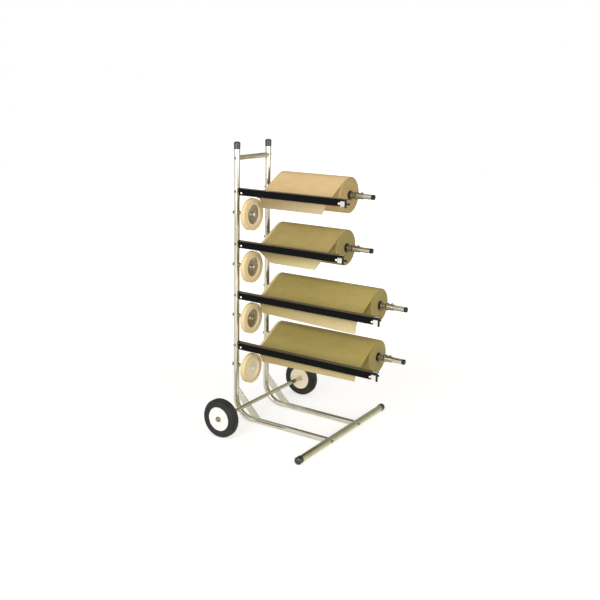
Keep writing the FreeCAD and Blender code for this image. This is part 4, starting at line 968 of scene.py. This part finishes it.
piece("bar_hexagon_screws",
      [hexagon((upright_x, near_y - tube_radius, bar_heights[level]), (0, -1, 0), screw_flats,
               screw_high) for level in (1, 2, 3, 4)],
      zinc, "zinc_plate", "bar_screws", crease=25)
bolts, nuts = [], []
for level in (1, 2, 3, 4):
    middle, low, high = middle_of(f"tape_hub_{level}")
    head = (high[0] + 0.4 * mm, middle[1], middle[2])
    bolts.append(hexagon(head, (1, 0, 0), bolt_flats, bolt_high))
    long = head[0] - (back_x - nut_high - 2 * mm)
    shank = [(0, 0.2 * mm), (0, 3.7 * mm), (0.4 * mm, 4 * mm), (long, 4 * mm), (long, 0.2 * mm)]
    bolts.append(shell(turned(shank, head, (-1, 0, 0), 20)))
    for x in (back_x - nut_high, upright_x + tube_radius, low[0] - nut_high + 1.6 * mm):
        nuts.append(hexagon((x, middle[1], middle[2]), (1, 0, 0), bolt_flats, nut_high, both=True))
piece("tape_hexagon_bolts", bolts, rivet_nickel, "zinc_plate", "tape_bolts", crease=25)
piece("tape_hexagon_nuts", nuts, tarnished_zinc, "zinc_plate", "tape_nuts", crease=25)


# Studio: a white sweep that keeps a soft shadow, a broad low lamp in front, a
# weaker one on the right, and a sky that is bright in front and dim overhead.
floor_mesh = bpy.data.meshes.new("white_sweep")
floor_mesh.from_pydata([(-9, -9, 0), (9, -9, 0), (9, 9, 0), (-9, 9, 0)], [], [(0, 1, 2, 3)])
floor = bpy.data.objects.new("white_sweep", floor_mesh)
bpy.context.collection.objects.link(floor)
sweep = bpy.data.materials.new("white_paper_sweep")
sweep.use_nodes = True
paper = sweep.node_tree.nodes["Principled BSDF"]
paper.inputs["Base Color"].default_value = linear("#c4c2bd")
paper.inputs["Roughness"].default_value = 0.9
camera_ray = add_node(sweep, "LightPath", out="Is Camera Ray")
glossy_ray = add_node(sweep, "LightPath", out="Is Glossy Ray")
place = add_node(sweep, "TexCoord", out="Object")
away = add_node(sweep, "VectorMath", {0: place}, out="Value", operation="LENGTH")
mirrored = add_node(sweep, "MapRange", {0: glossy_ray, 1: 0, 2: 1, 3: 0, 4: 0.45})
faded = add_node(sweep, "MapRange", {0: away, 1: 0.9, 2: 3, 3: 0.6, 4: 1})
seen = add_node(sweep, "Mix", {0: camera_ray, 2: mirrored, 3: faded}, data_type="FLOAT")
glow = add_node(sweep, "Emission", {"Color": (1, 1, 1, 1), "Strength": seen})
both = add_node(sweep, "AddShader", {0: paper.outputs[0], 1: glow})
sweep.node_tree.links.new(both, sweep.node_tree.nodes["Material Output"].inputs["Surface"])
floor_mesh.materials.append(sweep)

world = bpy.data.worlds.new("studio_sky")
world.use_nodes = True
bpy.context.scene.world = world
sky = world.node_tree.nodes["Background"]
sky.inputs["Color"].default_value = (1, 1, 1, 1)
camera_ray = add_node(world, "LightPath", out="Is Camera Ray")
way = add_node(world, "TexCoord", out="Generated")
forward = add_node(world, "VectorMath", {0: way, 1: (0.45, -0.89, 0)}, out="Value",
                   operation="DOT_PRODUCT")
height = add_node(world, "SeparateXYZ", {0: way}, out="Z")
in_front = add_node(world, "MapRange", {0: forward, 1: -0.6, 2: 0.8, 3: 0.5, 4: 1.25})
overhead = add_node(world, "MapRange", {0: height, 1: 0.15, 2: 0.8, 3: 1, 4: 0.7})
level = add_node(world, "Math", {0: in_front, 1: overhead}, operation="MULTIPLY")
strength = add_node(world, "Mix", {0: camera_ray, 2: level, 3: 1.0}, data_type="FLOAT")
world.node_tree.links.new(strength, sky.inputs["Strength"])


def placed(name, kind, place, right, away):
    """A lamp or camera at a place, with `right` as its x and looking against `away`."""
    made = bpy.data.objects.new(name, kind)
    rows = np.stack([right, np.cross(away, right), away, place], 1).tolist()
    made.matrix_world = Matrix([*rows, [0, 0, 0, 1]])
    bpy.context.collection.objects.link(made)
    return made


for name, place, aim, wide, watts in (
        ("front_soft_box", (0.2, -3.2, 1.3), (0, 0, 0.6), 1.8, 54),
        ("right_soft_box", (3.0, -0.6, 1.4), (0, 0, 0.55), 1.6, 26)):
    light = bpy.data.lights.new(name, "AREA")
    light.size, light.energy = wide, watts
    away = np.subtract(place, aim) / np.linalg.norm(np.subtract(place, aim))
    right = np.cross((0, 0, 1), away) / np.linalg.norm(np.cross((0, 0, 1), away))
    placed(name, light, place, right, away)


# Camera: the photograph's place and lens, found from the stand's own edges.
azimuth, elevation, roll = (math.radians(turn) for turn in (33.0127, 11.59384, 1.01463))
away = np.array([math.cos(elevation) * math.sin(azimuth),
                 -math.cos(elevation) * math.cos(azimuth), math.sin(elevation)])
level = np.array([math.cos(azimuth), math.sin(azimuth), 0])
right = math.cos(roll) * level + math.sin(roll) * np.cross(away, level)
lens = bpy.data.cameras.new("front_view")
lens.lens, lens.sensor_width, lens.shift_y, lens.clip_end = 51.58, 36, -0.076, 60
camera = placed("front_view", lens, (1.66918, -2.70040, 1.34516), right, away)
bpy.context.scene.camera = camera
bpy.context.scene.view_settings.view_transform = "Standard"
